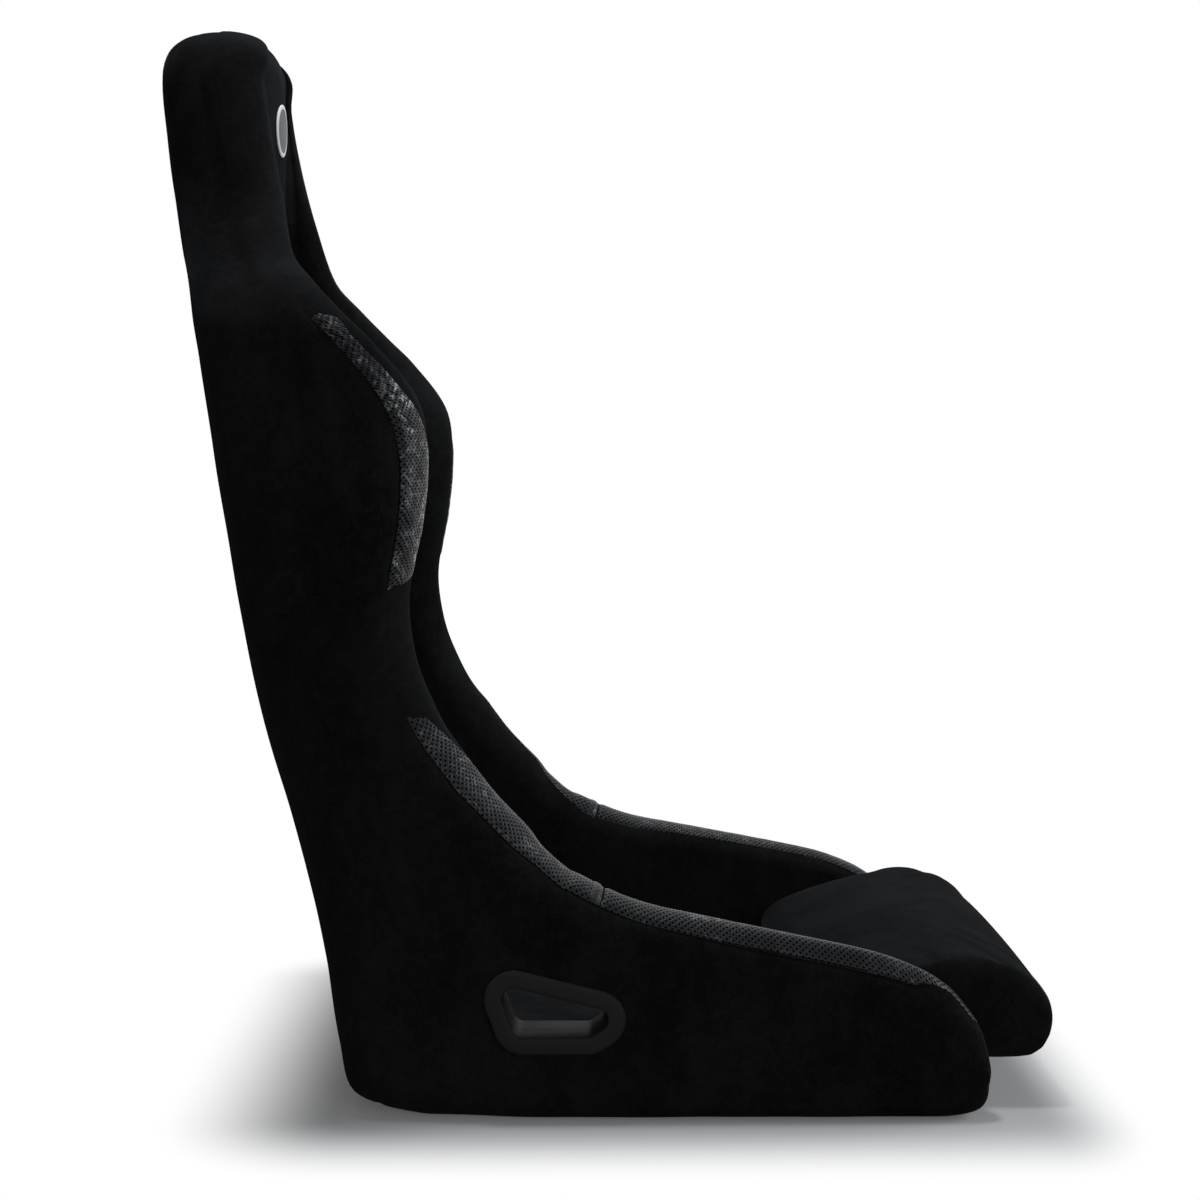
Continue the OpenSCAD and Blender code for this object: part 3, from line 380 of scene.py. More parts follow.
# Places along the seat are row numbers, with a fraction between two rows
T_PADDED, T_PAN, T_SEAT, T_TRIM, T_COVER, T_HEEL, T_LUMBAR = 2.03, 5.0, 6.42, 8.8, 10.5, 11.0, 16.5
T_WAIST, T_PANEL, T_SLOT, T_HEAD, T_BADGE = 17.0, 21.85, 23.0, 26.0, 27.4
T_SEAT_END, T_LUMBAR_START, PAD_GAP = 10.8, 11.25, 0.03
T_BOXED = 2.07           # the walls' front ends are solid up to here
# End of the rounded front, start of the crown and of its top
T_ROUNDED, T_CROWN, T_TOP = 4.0, 27.9, 28.6
# Lean of the side, its straight start, and bow of the back
SIDE_DRAFT, DRAFT_RUN, BACK_BOW = 6.0, 30.0, 8.0
TUCK = 6.0                                              # how far a bolster goes down behind a cushion
ASIDE, LEAST_SQUARE, WALL_PULL = 0.02, 0.6, 1.3
# Waves of the cloth, and a hem's share of a seam's dip
WAVE, SEED, HEM_PULL = 0.7, 3.0, 0.3
HEM_UNDER, HEM_BACK, COVER_EDGE = 80.0, 46.3, 46.5      # hems' angles on the lower corner, in degrees
STEPS = np.hypot(*np.diff(ROWS[:, :2], axis=0).T)
ALONG = np.concatenate([[0.0], np.cumsum(STEPS)])
PLACES = np.arange(LAST + 1)
AFTER, BEFORE = np.minimum(PLACES + 1, LAST), np.maximum(PLACES - 1, 0)
SLOPES = (ROWS[AFTER] - ROWS[BEFORE]) / (ALONG[AFTER] - ALONG[BEFORE])[:, None]


def run_at(t):
    """Distance along the outline to the places t."""
    return np.interp(t, PLACES, ALONG)


def place_at(run):
    """Places at distances along the outline."""
    return np.interp(run, ALONG, PLACES)


def row_at(t):
    """The rows of the table at the places t, on smooth curves through the given ones."""
    i = np.clip(np.floor(t).astype(int), 0, LAST - 1)
    u, h = (t - i)[:, None], STEPS[i][:, None]
    return ((2 * u**3 - 3 * u**2 + 1) * ROWS[i] + (u**3 - 2 * u**2 + u) * h * SLOPES[i]
            + (3 * u**2 - 2 * u**3) * ROWS[i + 1] + (u**3 - u**2) * h * SLOPES[i + 1])


def stations(t):
    """What every piece needs of the sections at the places t, as columns."""
    t = np.atleast_1d(np.asarray(t, float))
    p = row_at(t)
    s = SimpleNamespace(t=t[:, None], **{name: p[:, [k]] for k, name in enumerate(COLUMNS)})
    s.outline = np.hstack([s.y, np.maximum(0, s.z)])
    s.way = np.hstack([-np.cos(np.radians(s.tilt)), np.sin(np.radians(s.tilt))])
    # a section that isn't square to the outline is stretched in depth by its slant
    d = row_at(np.minimum(t + ASIDE, LAST))[:, :2] - row_at(np.maximum(t - ASIDE, 0))[:, :2]
    d /= np.linalg.norm(d, axis=1)[:, None]
    square = (-d[:, 1] * s.way[:, 0] + d[:, 0] * s.way[:, 1])[:, None]
    s.slant = np.where((s.t < T_PAN) | (s.t > T_CROWN), 1.0, 1 / np.maximum(LEAST_SQUARE, square))
    s.bow = BACK_BOW * s.slant * np.clip((s.t - T_HEEL + 1) / 3, 0, 1) * np.clip((T_HEAD + 4 - s.t) / 4, 0, 1)
    s.level, s.crown = s.level * s.slant, s.crown * s.slant
    s.lift, s.drop = np.maximum(0, s.lift), WRAP * s.wrap
    s.flat = s.side - SIDE_DRAFT - s.corner
    s.corner_depth = np.minimum(s.corner * s.slant, s.reach / 2)
    s.low_end = s.bow + s.corner_depth
    s.roll_foot = np.maximum(s.reach - s.roll, s.low_end)
    s.roll_height = s.reach - s.roll_foot
    return s


def drop_angle(s, drop):
    """Angle on the outer roll at a distance below the crest, in radians, and never quite at its foot."""
    return np.arcsin(np.maximum(.12 - .002 * drop, np.minimum(1, 1 - drop / s.roll_height)))


def pair(x, d):
    x, d = np.broadcast_arrays(x, d)
    return np.stack([x, d], -1)


def floor_path(s, f, e=0.0):
    """From the middle of the outside at f = 0 to the corner at 1, with e as the depth under the surface."""
    return pair(f * s.flat, s.bow * f * f + e * s.slant)


def corner_path(s, th, e=0.0):
    """Round the outer corner, from the floor at a right angle to the side at 0."""
    return pair(s.flat + (s.corner - e) * np.cos(th), s.low_end - (s.corner_depth - e * s.slant) * np.sin(th))


def side_path(s, u, e=0.0):
    """From the corner's end to the foot of the outer roll, with u from 0 to 1."""
    turn = (np.minimum(s.low_end + DRAFT_RUN, s.roll_foot) + s.roll_foot) / 2
    d = s.low_end + (s.roll_foot - s.low_end) * u
    v = np.clip((d - s.low_end) / np.maximum(turn - s.low_end, 1e-3), 0, 1)
    return pair(s.side - SIDE_DRAFT * (1 - v * v * (3 - 2 * v)) - e, d)


def roll_path(s, ph, e=0.0):
    """Over the outer roll, from its foot at 0 to the crest at a right angle."""
    w, h, c, n = s.side - s.crest, s.roll_height, np.cos(ph), np.sin(ph)
    m = np.hypot(h * c, w * n)
    return pair(s.crest + w * c - e * h * c / m, s.roll_foot + h * n - e * w * n / m)


def inner_path(s, ps):
    """Over the inner roll, from the crest at 0 to the inner wall at a right angle."""
    return pair(s.crest - (s.crest - s.inner) * np.sin(ps), s.reach - s.inner_roll * (1 - np.cos(ps)))


def wall_path(s, u, end_level=None):
    """From the end of the inner roll to the foot, in one soft curve that leaves the roll straight down."""
    x0, d0 = s.inner, s.reach - s.inner_roll
    x1, d1 = s.foot, s.level if end_level is None else end_level
    fall = d0 - d1
    h00, h10, h01, h11 = 2 * u**3 - 3 * u**2 + 1, u**3 - 2 * u**2 + u, 3 * u**2 - 2 * u**3, u**3 - u**2
    return pair(h00 * x0 + h01 * x1 + h11 * (x1 - x0) * WALL_PULL,
                h00 * d0 - h10 * fall + h01 * d1 - h11 * fall)


def put(s, path):
    """Section points to points of the seat."""
    x, d = path[..., 0], path[..., 1]
    return np.stack([x, s.outline[:, :1] + d * s.way[:, :1], s.outline[:, 1:] + d * s.way[:, 1:]], -1)


def join(*paths):
    return np.concatenate(paths, axis=1)


def other_side(points):
    """The same points on the right side of the seat."""
    return points * (-1, 1, 1)


def shares(count, first=0):
    """Even shares from 0 to 1 as a row, without the first few if asked."""
    return np.linspace(0, 1, count)[None][:, first:]


def places(start, end, step):
    """Places between two others, about one step apart along the outline and closer round the ends."""
    a, b = run_at([start, end])
    count = max(4, int(round((b - a) / step)))
    t = place_at(np.linspace(a, b, count + 1))
    extra = np.concatenate([np.arange(0, T_ROUNDED, .2), np.arange(T_TOP, LAST, .2)])
    return np.unique(np.round(np.concatenate([t, extra[(extra > start) & (extra < end)]]), 5))


def surface_normals(grid):
    n = np.cross(np.gradient(grid, axis=0), np.gradient(grid, axis=1))
    return n / np.maximum(np.linalg.norm(n, axis=2), 1e-9)[..., None]


def run_over(grid, axis):
    """Distance over the surface to each point, from the first row or column."""
    steps = np.cumsum(np.linalg.norm(np.diff(grid, axis=axis), axis=2), axis)
    return np.insert(steps, 0, 0.0, axis)


def edge_distance(grid, ends=(True, True), sides=(True, True)):
    """Distance over the surface from each point to the nearest of the chosen edges."""
    along, across = run_over(grid, 0), run_over(grid, 1)
    far = np.full(grid.shape[:2], 1e3)
    edges = (along, along[-1:] - along, across, across[:, -1:] - across)
    for use, value in zip(ends + sides, edges):
        if use:
            far = np.minimum(far, value)
    return far, along, across


def ripple(points, scale, seed):
    """Smooth noise between -1 and 1 at each point."""
    flat = points.reshape(-1, 3) * scale + seed
    return np.array([noise.noise(Vector(p)) for p in flat]).reshape(points.shape[:-1])


def seam_pull(s):
    """How far each section's outer seam is pulled in: fully under the leather patches, hardly elsewhere."""
    return np.interp(s.t, [4.4, 5.3, 15.3, 15.9, 17.7, 18.2, 22.4, 23.0, 23.6],
                     [.1, 1, 1, .3, .3, 1, 1, .25, 0])


def dressed(grid, sizes, seams, dip=1.0):
    """A cover's outer surface with its side seams pulled in and the faint waves of stretched cloth."""
    normals = surface_normals(grid)
    distance = edge_distance(grid, (False, False), seams)[0]
    depth, width = sizes.seam_depth / MM * dip, sizes.seam_width / MM
    amount = WAVE * ripple(grid, 0.016, SEED) - depth * np.exp(-(distance / width) ** 2)
    return grid + normals * amount[..., None], normals


# ---------------------------------------------------------------- mesh helpers

SMOOTH_ANGLE = 35.0


def mesh_object(name, points, faces, smooth_angle=SMOOTH_ANGLE, charts=None):
    """An object from points in millimetres, with a flat map in millimetres where one is given."""
    mesh = bpy.data.meshes.new(name)
    mesh.from_pydata([tuple(p) for p in np.asarray(points) * MM], [], faces)
    if charts is not None:
        layer = mesh.uv_layers.new(name="Chart")
        charts = np.asarray(charts) * MM
        corner = np.array([loop.vertex_index for loop in mesh.loops])
        layer.data.foreach_set("uv", charts[corner].astype(np.float32).ravel())
    mesh.validate()
    mesh.update()
    clean(mesh)
    smooth_faces(mesh, smooth_angle)
    return linked(name, mesh)


def linked(name, data):
    """A new object in the scene."""
    made = bpy.data.objects.new(name, data)
    bpy.context.scene.collection.objects.link(made)
    return made


def clean(mesh):
    """Merges doubled points, drops faces without area and turns all faces outward."""
    work = bmesh.new()
    work.from_mesh(mesh)
    bmesh.ops.remove_doubles(work, verts=work.verts, dist=1e-5)
    bmesh.ops.dissolve_degenerate(work, edges=work.edges, dist=1e-6)
    bmesh.ops.recalc_face_normals(work, faces=work.faces)
    work.to_mesh(mesh)
    work.free()


def smooth_faces(mesh, angle=SMOOTH_ANGLE):
    mesh.shade_smooth()
    mesh.set_sharp_from_angle(angle=math.radians(angle))


def closed_skin(name, rings, caps=True, charts=None, smooth_angle=SMOOTH_ANGLE):
    """A closed form over rings of equal length, with end faces unless the rings close on themselves."""
    count, size = rings.shape[:2]
    faces = [(j * size + i, j * size + k, (j + 1) * size + k, (j + 1) * size + i)
             for j in range(count - 1) for i, k in zip(range(size), [*range(1, size), 0])]
    if caps:
        faces.append(tuple(range(size - 1, -1, -1)))
        faces.append(tuple((count - 1) * size + i for i in range(size)))
    return mesh_object(name, rings.reshape(-1, 3), faces, smooth_angle, charts)


def thick_sheet(name, grid, normals, thickness, charts=None):
    """A sheet of even thickness behind a grid of points."""
    rings = join(grid, (grid - normals * thickness)[:, ::-1])
    if charts is not None:
        charts = join(charts, charts[:, ::-1]).reshape(-1, 2)
    return closed_skin(name, rings, charts=charts)


def mirrored_copy(piece, name):
    """The same piece on the right side of the seat."""
    mesh = piece.data.copy()
    mesh.name = name
    work = bmesh.new()
    work.from_mesh(mesh)
    for v in work.verts:
        v.co.x = -v.co.x
    bmesh.ops.reverse_faces(work, faces=work.faces)
    work.to_mesh(mesh)
    work.free()
    return linked(name, mesh)


def cut_through(piece, cutters):
    """Cuts other closed forms out of a piece and removes them."""
    for cutter in cutters:
        change = piece.modifiers.new("Cut", "BOOLEAN")
        change.object, change.operation, change.solver = cutter, "DIFFERENCE", "EXACT"
    settle(piece)
    for cutter in cutters:
        bpy.data.objects.remove(cutter)
    smooth_faces(piece.data)
    return piece


def settle(piece):
    """Applies all modifiers of a piece."""
    graph = bpy.context.evaluated_depsgraph_get()
    mesh = bpy.data.meshes.new_from_object(piece.evaluated_get(graph))
    piece.modifiers.clear()
    piece.data = mesh


def seat_piece(piece, nodes, material):
    """Hands a finished piece over: what it replaces and what it is made of."""
    piece.data.materials.clear()
    piece.data.materials.append(material)
    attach(piece, BODY)
    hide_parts(*nodes)


def seat_pair(left, node, material):
    """Hands a piece of the left side over together with its twin on the right."""
    right = mirrored_copy(left, left.name.replace("_left", "_right"))
    seat_piece(left, [node + "_left"], material)
    seat_piece(right, [node + "_right"], material)


ARC_STEPS, RUN_STEPS = 10, 6


def rounded(corners, radius):
    """Outline of a convex shape: corner centres, counter-clockwise, grown by a radius."""
    c = np.array(corners, float)
    out = []
    for i in range(len(c)):
        before, here, after = c[i - 1], c[i], c[(i + 1) % len(c)]
        first, second = here - before, after - here
        a = math.atan2(-first[0], first[1])
        b = math.atan2(-second[0], second[1])
        b += 2 * math.pi * (b < a - 1e-9)
        turn = [here + radius * np.array([math.cos(v), math.sin(v)])
                for v in np.linspace(a, b, ARC_STEPS + 1)]
        leave = turn[-1]
        reach = after + radius * np.array([math.cos(b), math.sin(b)])
        out += turn + [leave + (reach - leave) * k / RUN_STEPS for k in range(1, RUN_STEPS)]
    return np.array(out)


LAP_Y, LAP_Z, LAP_R = 79.0, SEAT_PAD + 17, 10.0
LAP_CORNERS = [[LAP_Y + y, LAP_Z + z] for y, z in ((27, 10), (35, 32), (-34, 15), (-26, 10))]
SLOT_W, SLOT_H, SLOT_X, SLOT_R = 84.0, 42.0, 84.0, 12.0
SLOT_CORNERS = [[q[0] * (SLOT_W - 2 * SLOT_R), q[1] * (SLOT_H - 2 * SLOT_R)]
                for q in ([-.5, -.5], [.42, -.5], [.5, .5], [-.5, .5])]
CUT_MARGIN = 2.6         # a cut through the covers is this much wider than the bezel's opening
WALL = 56.0              # from the side cover's face to the bolster's inner face at the lap slot


def lap_ring(grow, x):
    """Outline of the lap slot, grown by a margin, at a distance from the seat's middle."""
    ring = rounded(LAP_CORNERS, LAP_R + grow)
    return np.stack([np.full(len(ring), x), ring[:, 0], ring[:, 1]], 1)


def slot_frame():
    """Place and lean of the left shoulder slot on the bowed back, and the height of the panel over it."""
    s = stations([T_SLOT])
    around = stations([T_SLOT - .5, T_SLOT + .5])
    d = around.outline[1] - around.outline[0]
    lean = math.atan(d[0] / d[1])
    bow, (y, z), way = s.bow[0, 0], s.outline[0], s.way[0]
    known = [0, .5, .78, 1]
    depth = float(np.interp(SLOT_X / s.flat[0, 0], known, [bow * q * q for q in known]))
    yaw = math.atan(2 * depth / SLOT_X)
    a, b = math.radians(90) - lean, -yaw
    turn_x = np.array([[1, 0, 0], [0, math.cos(a), -math.sin(a)], [0, math.sin(a), math.cos(a)]])
    turn_y = np.array([[math.cos(b), 0, math.sin(b)], [0, 1, 0], [-math.sin(b), 0, math.cos(b)]])
    origin = np.array([SLOT_X, y + depth * way[0], z + depth * way[1]])
    return origin, turn_x @ turn_y, float(s.level[0, 0]) - depth


SLOT_ORIGIN, SLOT_TURN, PANEL_FRONT = slot_frame()


def slot_ring(grow, height):
    """Outline of the shoulder slot, grown by a margin, at a height over the back."""
    ring = rounded(SLOT_CORNERS, SLOT_R + grow)
    flat = np.stack([ring[:, 0], ring[:, 1], np.full(len(ring), height)], 1)
    return SLOT_ORIGIN + flat @ SLOT_TURN.T


def ring_frame(name, ring, profile):
    """A frame whose cross-section is a closed profile of (growth, height) swept round an outline."""
    rings = np.array([ring(g, h) for g, h in profile + profile[:1]])
    return closed_skin(name, rings, caps=False, smooth_angle=50)


def plug(ring, low, high):
    """A solid that fills a slot's outline, to cut it out of a cover."""
    return closed_skin("cutter", np.array([ring(CUT_MARGIN, low), ring(CUT_MARGIN, high)]))


def cut_lap_slot(piece):
    return cut_through(piece, [plug(lap_ring, HIP - 92, HIP + 28)])


def cut_shoulder_slots(piece, low, high):
    left = plug(slot_ring, low, high)
    return cut_through(piece, [left, mirrored_copy(left, "cutter_right")])


# ---------------------------------------------------------------- covers and bolsters

def closing_path(s):
    """The hidden underside of a bolster: over the shell's inside and hooked over its rim."""
    e = COVER + GAP + SHELL + GAP
    past = np.arcsin(np.minimum(1, 2 * GAP / s.roll)) + math.radians(1)
    behind = np.clip((s.t - T_COVER + .5) * 2, 0, 1)
    floor_e = e - (COVER + GAP) * (1 - behind)
    seam, rim, hook = (drop_angle(s, drop) for drop in (s.drop, RIM_DROP, s.drop - GAP))
    th = np.radians([90., 60., 30., 0.])[None]
    bow = s.bow * np.minimum(1, s.foot / s.flat) ** 2
    low = [pair(s.foot, bow + s.lift * (s.foot < s.flat * .8) + floor_e * s.slant),
           corner_path(s, th, e + (floor_e - e) * np.sin(th) ** 6)]
    wall = [side_path(s, np.array([[.6]]), e)] + [roll_path(s, f * seam, e) for f in (0, .5, 1)]
    turn = [roll_path(s, seam + (rim - seam) * f + (past if f == 1 else 0), depth)
            for f, depth in ((.5, e), (1, e), (1, COVER), (.5, COVER))]
    hooked = join(*low, *wall, *turn, roll_path(s, hook, COVER))
    start = roll_path(s, hook)
    corner = pair(s.inner, start[:, :1, 1])
    n = hooked.shape[1]
    straight = np.concatenate([corner + (start - corner) * k / n for k in range(n)], axis=1)
    return np.where((s.t < T_BOXED)[..., None], straight, hooked)


def over_crest(s, edge):
    """From an angle on the outer roll over the crest to the inner wall, in two paths."""
    return roll_path(s, edge + (math.pi / 2 - edge) * shares(15)), inner_path(s, math.pi / 2 * shares(15, 1))


def bolster(name, start, end, sizes):
    """A foam roll over the shell's edge, from its outer seam over the crest to the cushion."""
    t = places(start, end, sizes.ring_step / MM)
    if start < T_PADDED < end:
        t = np.unique(np.concatenate([t, [T_PADDED, T_BOXED + .04]]))
    s = stations(t)
    boxed = s.t < T_BOXED
    edge = drop_angle(s, s.drop - GAP * seam_pull(s))
    level = np.where(boxed, roll_path(s, edge)[:, :1, 1], s.level - TUCK * s.slant)
    down = wall_path(s, shares(13, 1), np.minimum(level, s.reach - s.inner_roll - 1))
    down[..., 0] = np.where(boxed, s.inner, down[..., 0])
    grid = put(s, join(*over_crest(s, edge), down))
    skin = dressed(grid, sizes, (True, False), seam_pull(s))[0]
    rings = join(skin, put(s, closing_path(s)))
    if start == 0:
        rings = rounded_front(rings)
    return closed_skin(name, rings)


def rounded_front(rings):
    """Adds three smaller rings ahead of the first, so that a piece's front end is rounded."""
    first = rings[:1]
    middle = first.mean(axis=1, keepdims=True)
    more = [middle + (first - middle) * size - np.array([0, push, 0])
            for size, push in ((.45, .9), (.8, .6), (.94, .25))]
    return np.concatenate(more + [rings])


def side_cover(sizes):
    """Outer fabric of the left side, from the lower corner to the bolster's seam."""
    t = np.unique(np.concatenate([places(0, LAST, sizes.ring_step / MM), [T_PADDED, T_BOXED + .02]]))
    s = stations(t)
    # the cover goes nearly under the seat in front, and ends at the back cover's seam behind
    hem = np.radians(HEM_UNDER + (HEM_BACK - HEM_UNDER) * np.clip((s.t - T_COVER - .02) / .25, 0, 1))
    low = corner_path(s, hem * shares(11)[:, ::-1])
    wall = side_path(s, shares(15, 1))
    top = roll_path(s, drop_angle(s, s.drop) * shares(9, 1))
    grid = put(s, join(low, wall, top))
    pull = np.where(np.arange(grid.shape[1]) < 12, HEM_PULL, seam_pull(s))
    skin, normals = dressed(grid, sizes, (True, True), pull)
    back = skin - normals * (sizes.cover_thickness / MM)
    inside = skin.copy()
    inside[..., 0] = np.minimum(s.inner, grid[..., 0] - 1)
    boxed = (s.t < T_BOXED)[..., None]
    rings = rounded_front(join(skin, np.where(boxed, inside, back)[:, ::-1]))
    return cut_lap_slot(closed_skin("side_fabric_left", rings))


def back_cover(sizes):
    """Fabric over the rear, from one lower corner round to the other."""
    t = places(T_COVER, LAST, sizes.ring_step / MM)
    s = stations(t)
    edge = math.radians(COVER_EDGE)
    left = put(s, join(floor_path(s, shares(17)),
                       corner_path(s, math.pi / 2 + (edge - math.pi / 2) * shares(9, 1))))
    grid = join(other_side(left[:, :0:-1]), left)
    skin, normals = dressed(grid, sizes, (True, True), HEM_PULL)
    run = run_at(t)[:, None, None]
    skin = skin - normals * 1.5 * np.exp(-((run - run[0]) / 9) ** 2)       # tucked in at the lower edge
    piece = thick_sheet("back_fabric", skin, normals, sizes.cover_thickness / MM)
    return cut_shoulder_slots(piece, -12, 14)


def head_pad(sizes):
    """Front of the head part, from one outer seam over the crest and the face to the other."""
    t = places(T_HEAD, LAST, sizes.ring_step / MM)
    s = stations(t)
    edge = drop_angle(s, s.drop)
    f = shares(15)[:, -2::-1]
    face = pair(s.foot * f, s.level + s.crown * (1 - f * f))
    half = put(s, join(*over_crest(s, edge), wall_path(s, shares(13, 1)), face))
    skin = dressed(join(half, other_side(half[:, -2::-1])), sizes, (True, True), 0.0)[0]
    e = (COVER + GAP + SHELL + GAP) * np.clip((32.2 - s.t) / 3, 0.02, 1)
    near = put(s, join(roll_path(s, edge, e), corner_path(s, np.radians([[0., 30., 60., 90.]]), e),
                       floor_path(s, np.array([[.78, .5, 0.]]), e)))
    return closed_skin("headrest_fabric", join(skin, other_side(near), near[:, -2::-1]))


# ---------------------------------------------------------------- cushions

PAD_UNDER, PAD_MARGIN = 10.2, 0.9        # over the seat's outside, and beside the bolster
PAD_WAIST, PAD_SINK = 2.2, 0.42          # how far the sides draw in, and the seam's share of the height
PAD_EDGE, PAD_LEAD = 13.0, 15.6          # rounding at the sides and at the ends
# Mesh and length of the cloth simulation, and how far below its level a cushion starts before it swells
CLOTH_MESH, CLOTH_FRAMES, SWELL = 5.5, 20, 3.0


def pad_form(name, start, end):
    """A cushion that lies on the shell between two places, crowned and rounded at its sewn edges."""
    a, b = run_at([start, end])
    lead = np.linspace(0, 1, 7) ** 1.5 * PAD_LEAD
    run = run_at(places(start, end, 9.0))
    run = run[(run > a + lead[-1]) & (run < b - lead[-1])]
    run = np.unique(np.round(np.concatenate([run, a + lead, b - lead]), 4))
    s = stations(place_at(run))
    from_end = np.minimum(run - a, b - run)[:, None]
    swell = np.sqrt(np.maximum(0, 1 - (1 - np.minimum(from_end / PAD_LEAD, 1)) ** 2))
    flatter = .4 + .6 * swell
    w = s.foot - PAD_MARGIN - PAD_WAIST * np.sin(math.pi * (run[:, None] - a) / (b - a))
    low = s.bow * np.minimum(1, w / s.flat) ** 2 + PAD_UNDER * s.slant
    middle = low + (s.level - low) * PAD_SINK
    out = []
    for share in np.linspace(0, 1, 17):                       # across the top to the rounded edge
        x = w * share
        fall = np.sqrt(np.maximum(0, 1 - np.maximum(0, (x - (w - PAD_EDGE)) / PAD_EDGE) ** 2))
        top = s.level - SWELL + s.crown * (1 - share * share) * 1.15
        out.append(pair(x, middle + (top - middle) * fall * (0.35 + 0.65 * swell) * (.08 + .92 * swell)))
    for share in (0.0, 0.25, 0.6, 1.0):                       # down under the seam and back to the middle
        out.append(pair(w * (1 - 0.06 * share), middle - (middle - low) * (0.15 + 0.85 * share) * flatter))
    for q in (.7, .45, .2, 0):
        flat_low = s.bow * (q * w / s.flat) ** 2 + PAD_UNDER * s.slant
        out.append(pair(w * q, middle + (flat_low - middle) * flatter))
    left = put(s, join(*out))
    return closed_skin(name, join(left, other_side(left[:, -2:0:-1])))


def stuffed(piece, outward, reach):
    """Lets a cushion's foam swell its cover, as cloth under pressure that is held at its sides and below."""
    even = piece.modifiers.new("Even mesh", "REMESH")
    even.mode, even.voxel_size = "VOXEL", CLOTH_MESH * MM
    settle(piece)
    vertices = piece.data.vertices
    before, normals, after = (np.empty(len(vertices) * 3) for _ in range(3))
    vertices.foreach_get("co", before)
    vertices.foreach_get("normal", normals)
    facing = normals.reshape(-1, 3) @ (np.array(outward) / np.linalg.norm(outward))
    held = piece.vertex_groups.new(name="held")
    held.add([int(i) for i in np.flatnonzero(facing < .35)], 1.0, "REPLACE")
    cloth = piece.modifiers.new("Stuffing", "CLOTH")
    cloth.settings.quality = 4
    cloth.settings.mass = .4
    cloth.settings.use_pressure = True
    cloth.settings.uniform_pressure_force = 4.0
    cloth.settings.vertex_group_mass = held.name
    cloth.settings.effector_weights.gravity = 0.0
    cloth.collision_settings.use_collision = False
    scene = bpy.context.scene
    for number in range(1, CLOTH_FRAMES + 1):
        scene.frame_set(number)
    settle(piece)
    scene.frame_set(1)
    piece.data.vertices.foreach_get("co", after)
    move = (after - before).reshape(-1, 3)
    length = np.linalg.norm(move, axis=1)[:, None]
    move *= np.minimum(1, reach * MM / np.maximum(length, 1e-9))
    piece.data.vertices.foreach_set("co", before + move.ravel())
    piece.data.update()
    piece.vertex_groups.clear()
    smooth = piece.modifiers.new("Smooth", "SUBSURF")
    smooth.levels = smooth.render_levels = 1
    settle(piece)
    piece.data.shade_smooth()
    return piece


# Outline of the cushion under the thighs, from its lower rear edge forward and back over the top
THIGH = np.array([[-131, 12], [-139, 8], [-180, 8.5], [-215, 15.5], [-250, 27.5], [-268, 34.5], [-284, 40],
                  [-304, 40], [-330, 42], [-343, 51], [-349.5, 69], [-348.5, 89], [-337, 112], [-319, 126.5],
                  [-297, 135], [-270, 137], [-230, 129], [-185, 116], [-152, 102], [-137, 90],
                  [-131, 76]], float)
THIGH_HALF, THIGH_EDGE = 225.0, 12.0


def closed_curve(points, count):
    """Smooth closed curve through points, evenly spaced."""
    n = len(points)
    out = []
    for i in range(n):
        p0, p1, p2, p3 = (points[(i + k) % n] for k in (-1, 0, 1, 2))
        for u in np.linspace(0, 1, 12, endpoint=False):
            out.append(.5 * (2 * p1 + (p2 - p0) * u + (2 * p0 - 5 * p1 + 4 * p2 - p3) * u**2
                             + (3 * p1 - p0 - 3 * p2 + p3) * u**3))
    out = np.array(out + out[:1])
    length = np.concatenate([[0], np.cumsum(np.linalg.norm(np.diff(out, axis=0), axis=1))])
    at = np.linspace(0, length[-1], count, endpoint=False)
    return np.stack([np.interp(at, length, out[:, k]) for k in (0, 1)], 1)


def thigh_form():
    """The loose cushion under the thighs, with boxed ends."""
    curve = closed_curve(THIGH, 110)
    tangent = np.roll(curve, -1, 0) - np.roll(curve, 1, 0)
    tangent /= np.linalg.norm(tangent, axis=1)[:, None]
    normal = np.stack([-tangent[:, 1], tangent[:, 0]], 1)
    if normal[np.argmax(curve[:, 1]), 1] < 0:
        normal = -normal
    up = np.clip((curve[:, 1] - 60) / 50, 0, 1)
    edge = THIGH_EDGE
    # from the end to the middle: place, and how far the outline is drawn in
    end = [(THIGH_HALF - back, edge * inset)
           for back, inset in ((1.6, 2.6), (0, 1.5), (.33, .95), (1.65, .45), (3.63, .15), (6.6, 0))]
    half = end + [(x, 0.0) for x in np.linspace(THIGH_HALF - edge * 1.2, 0, 26)]
    rings = []
    for x, inset in [(-x, inset) for x, inset in half] + half[-2::-1]:
        from_seam = THIGH_HALF - edge * .75 - abs(x)
        seam = 1.7 * math.exp(-(from_seam / 2.6) ** 2) if inset < edge * .9 else 0.0
        ring = curve - normal * (inset + seam)
        ring[:, 1] -= CROWN * .8 * (x / THIGH_HALF) ** 2 * up
        rings.append(np.column_stack([np.full(len(ring), x), ring]))
    return closed_skin("thigh_pad", np.array(rings))


# ---------------------------------------------------------------- leather trims

# Thickness, distance between the rows, rise in the middle and depth of the edge under the seam
LEATHER, LEATHER_STEP, PATCH_RISE, PATCH_SINK = 0.9, 2.2, 1.5, 0.55


def crest_pair(s, a):
    """Crest between the outer seam (-1), the crest line (0) and the inner wall (1)."""
    edge = drop_angle(s, s.drop - GAP)
    outer = roll_path(s, math.pi / 2 + np.minimum(a, 0) * (math.pi / 2 - edge))
    over = inner_path(s, np.clip(a, 0, 1) * math.pi / 2)
    return np.where((a < 0)[..., None], outer, over)


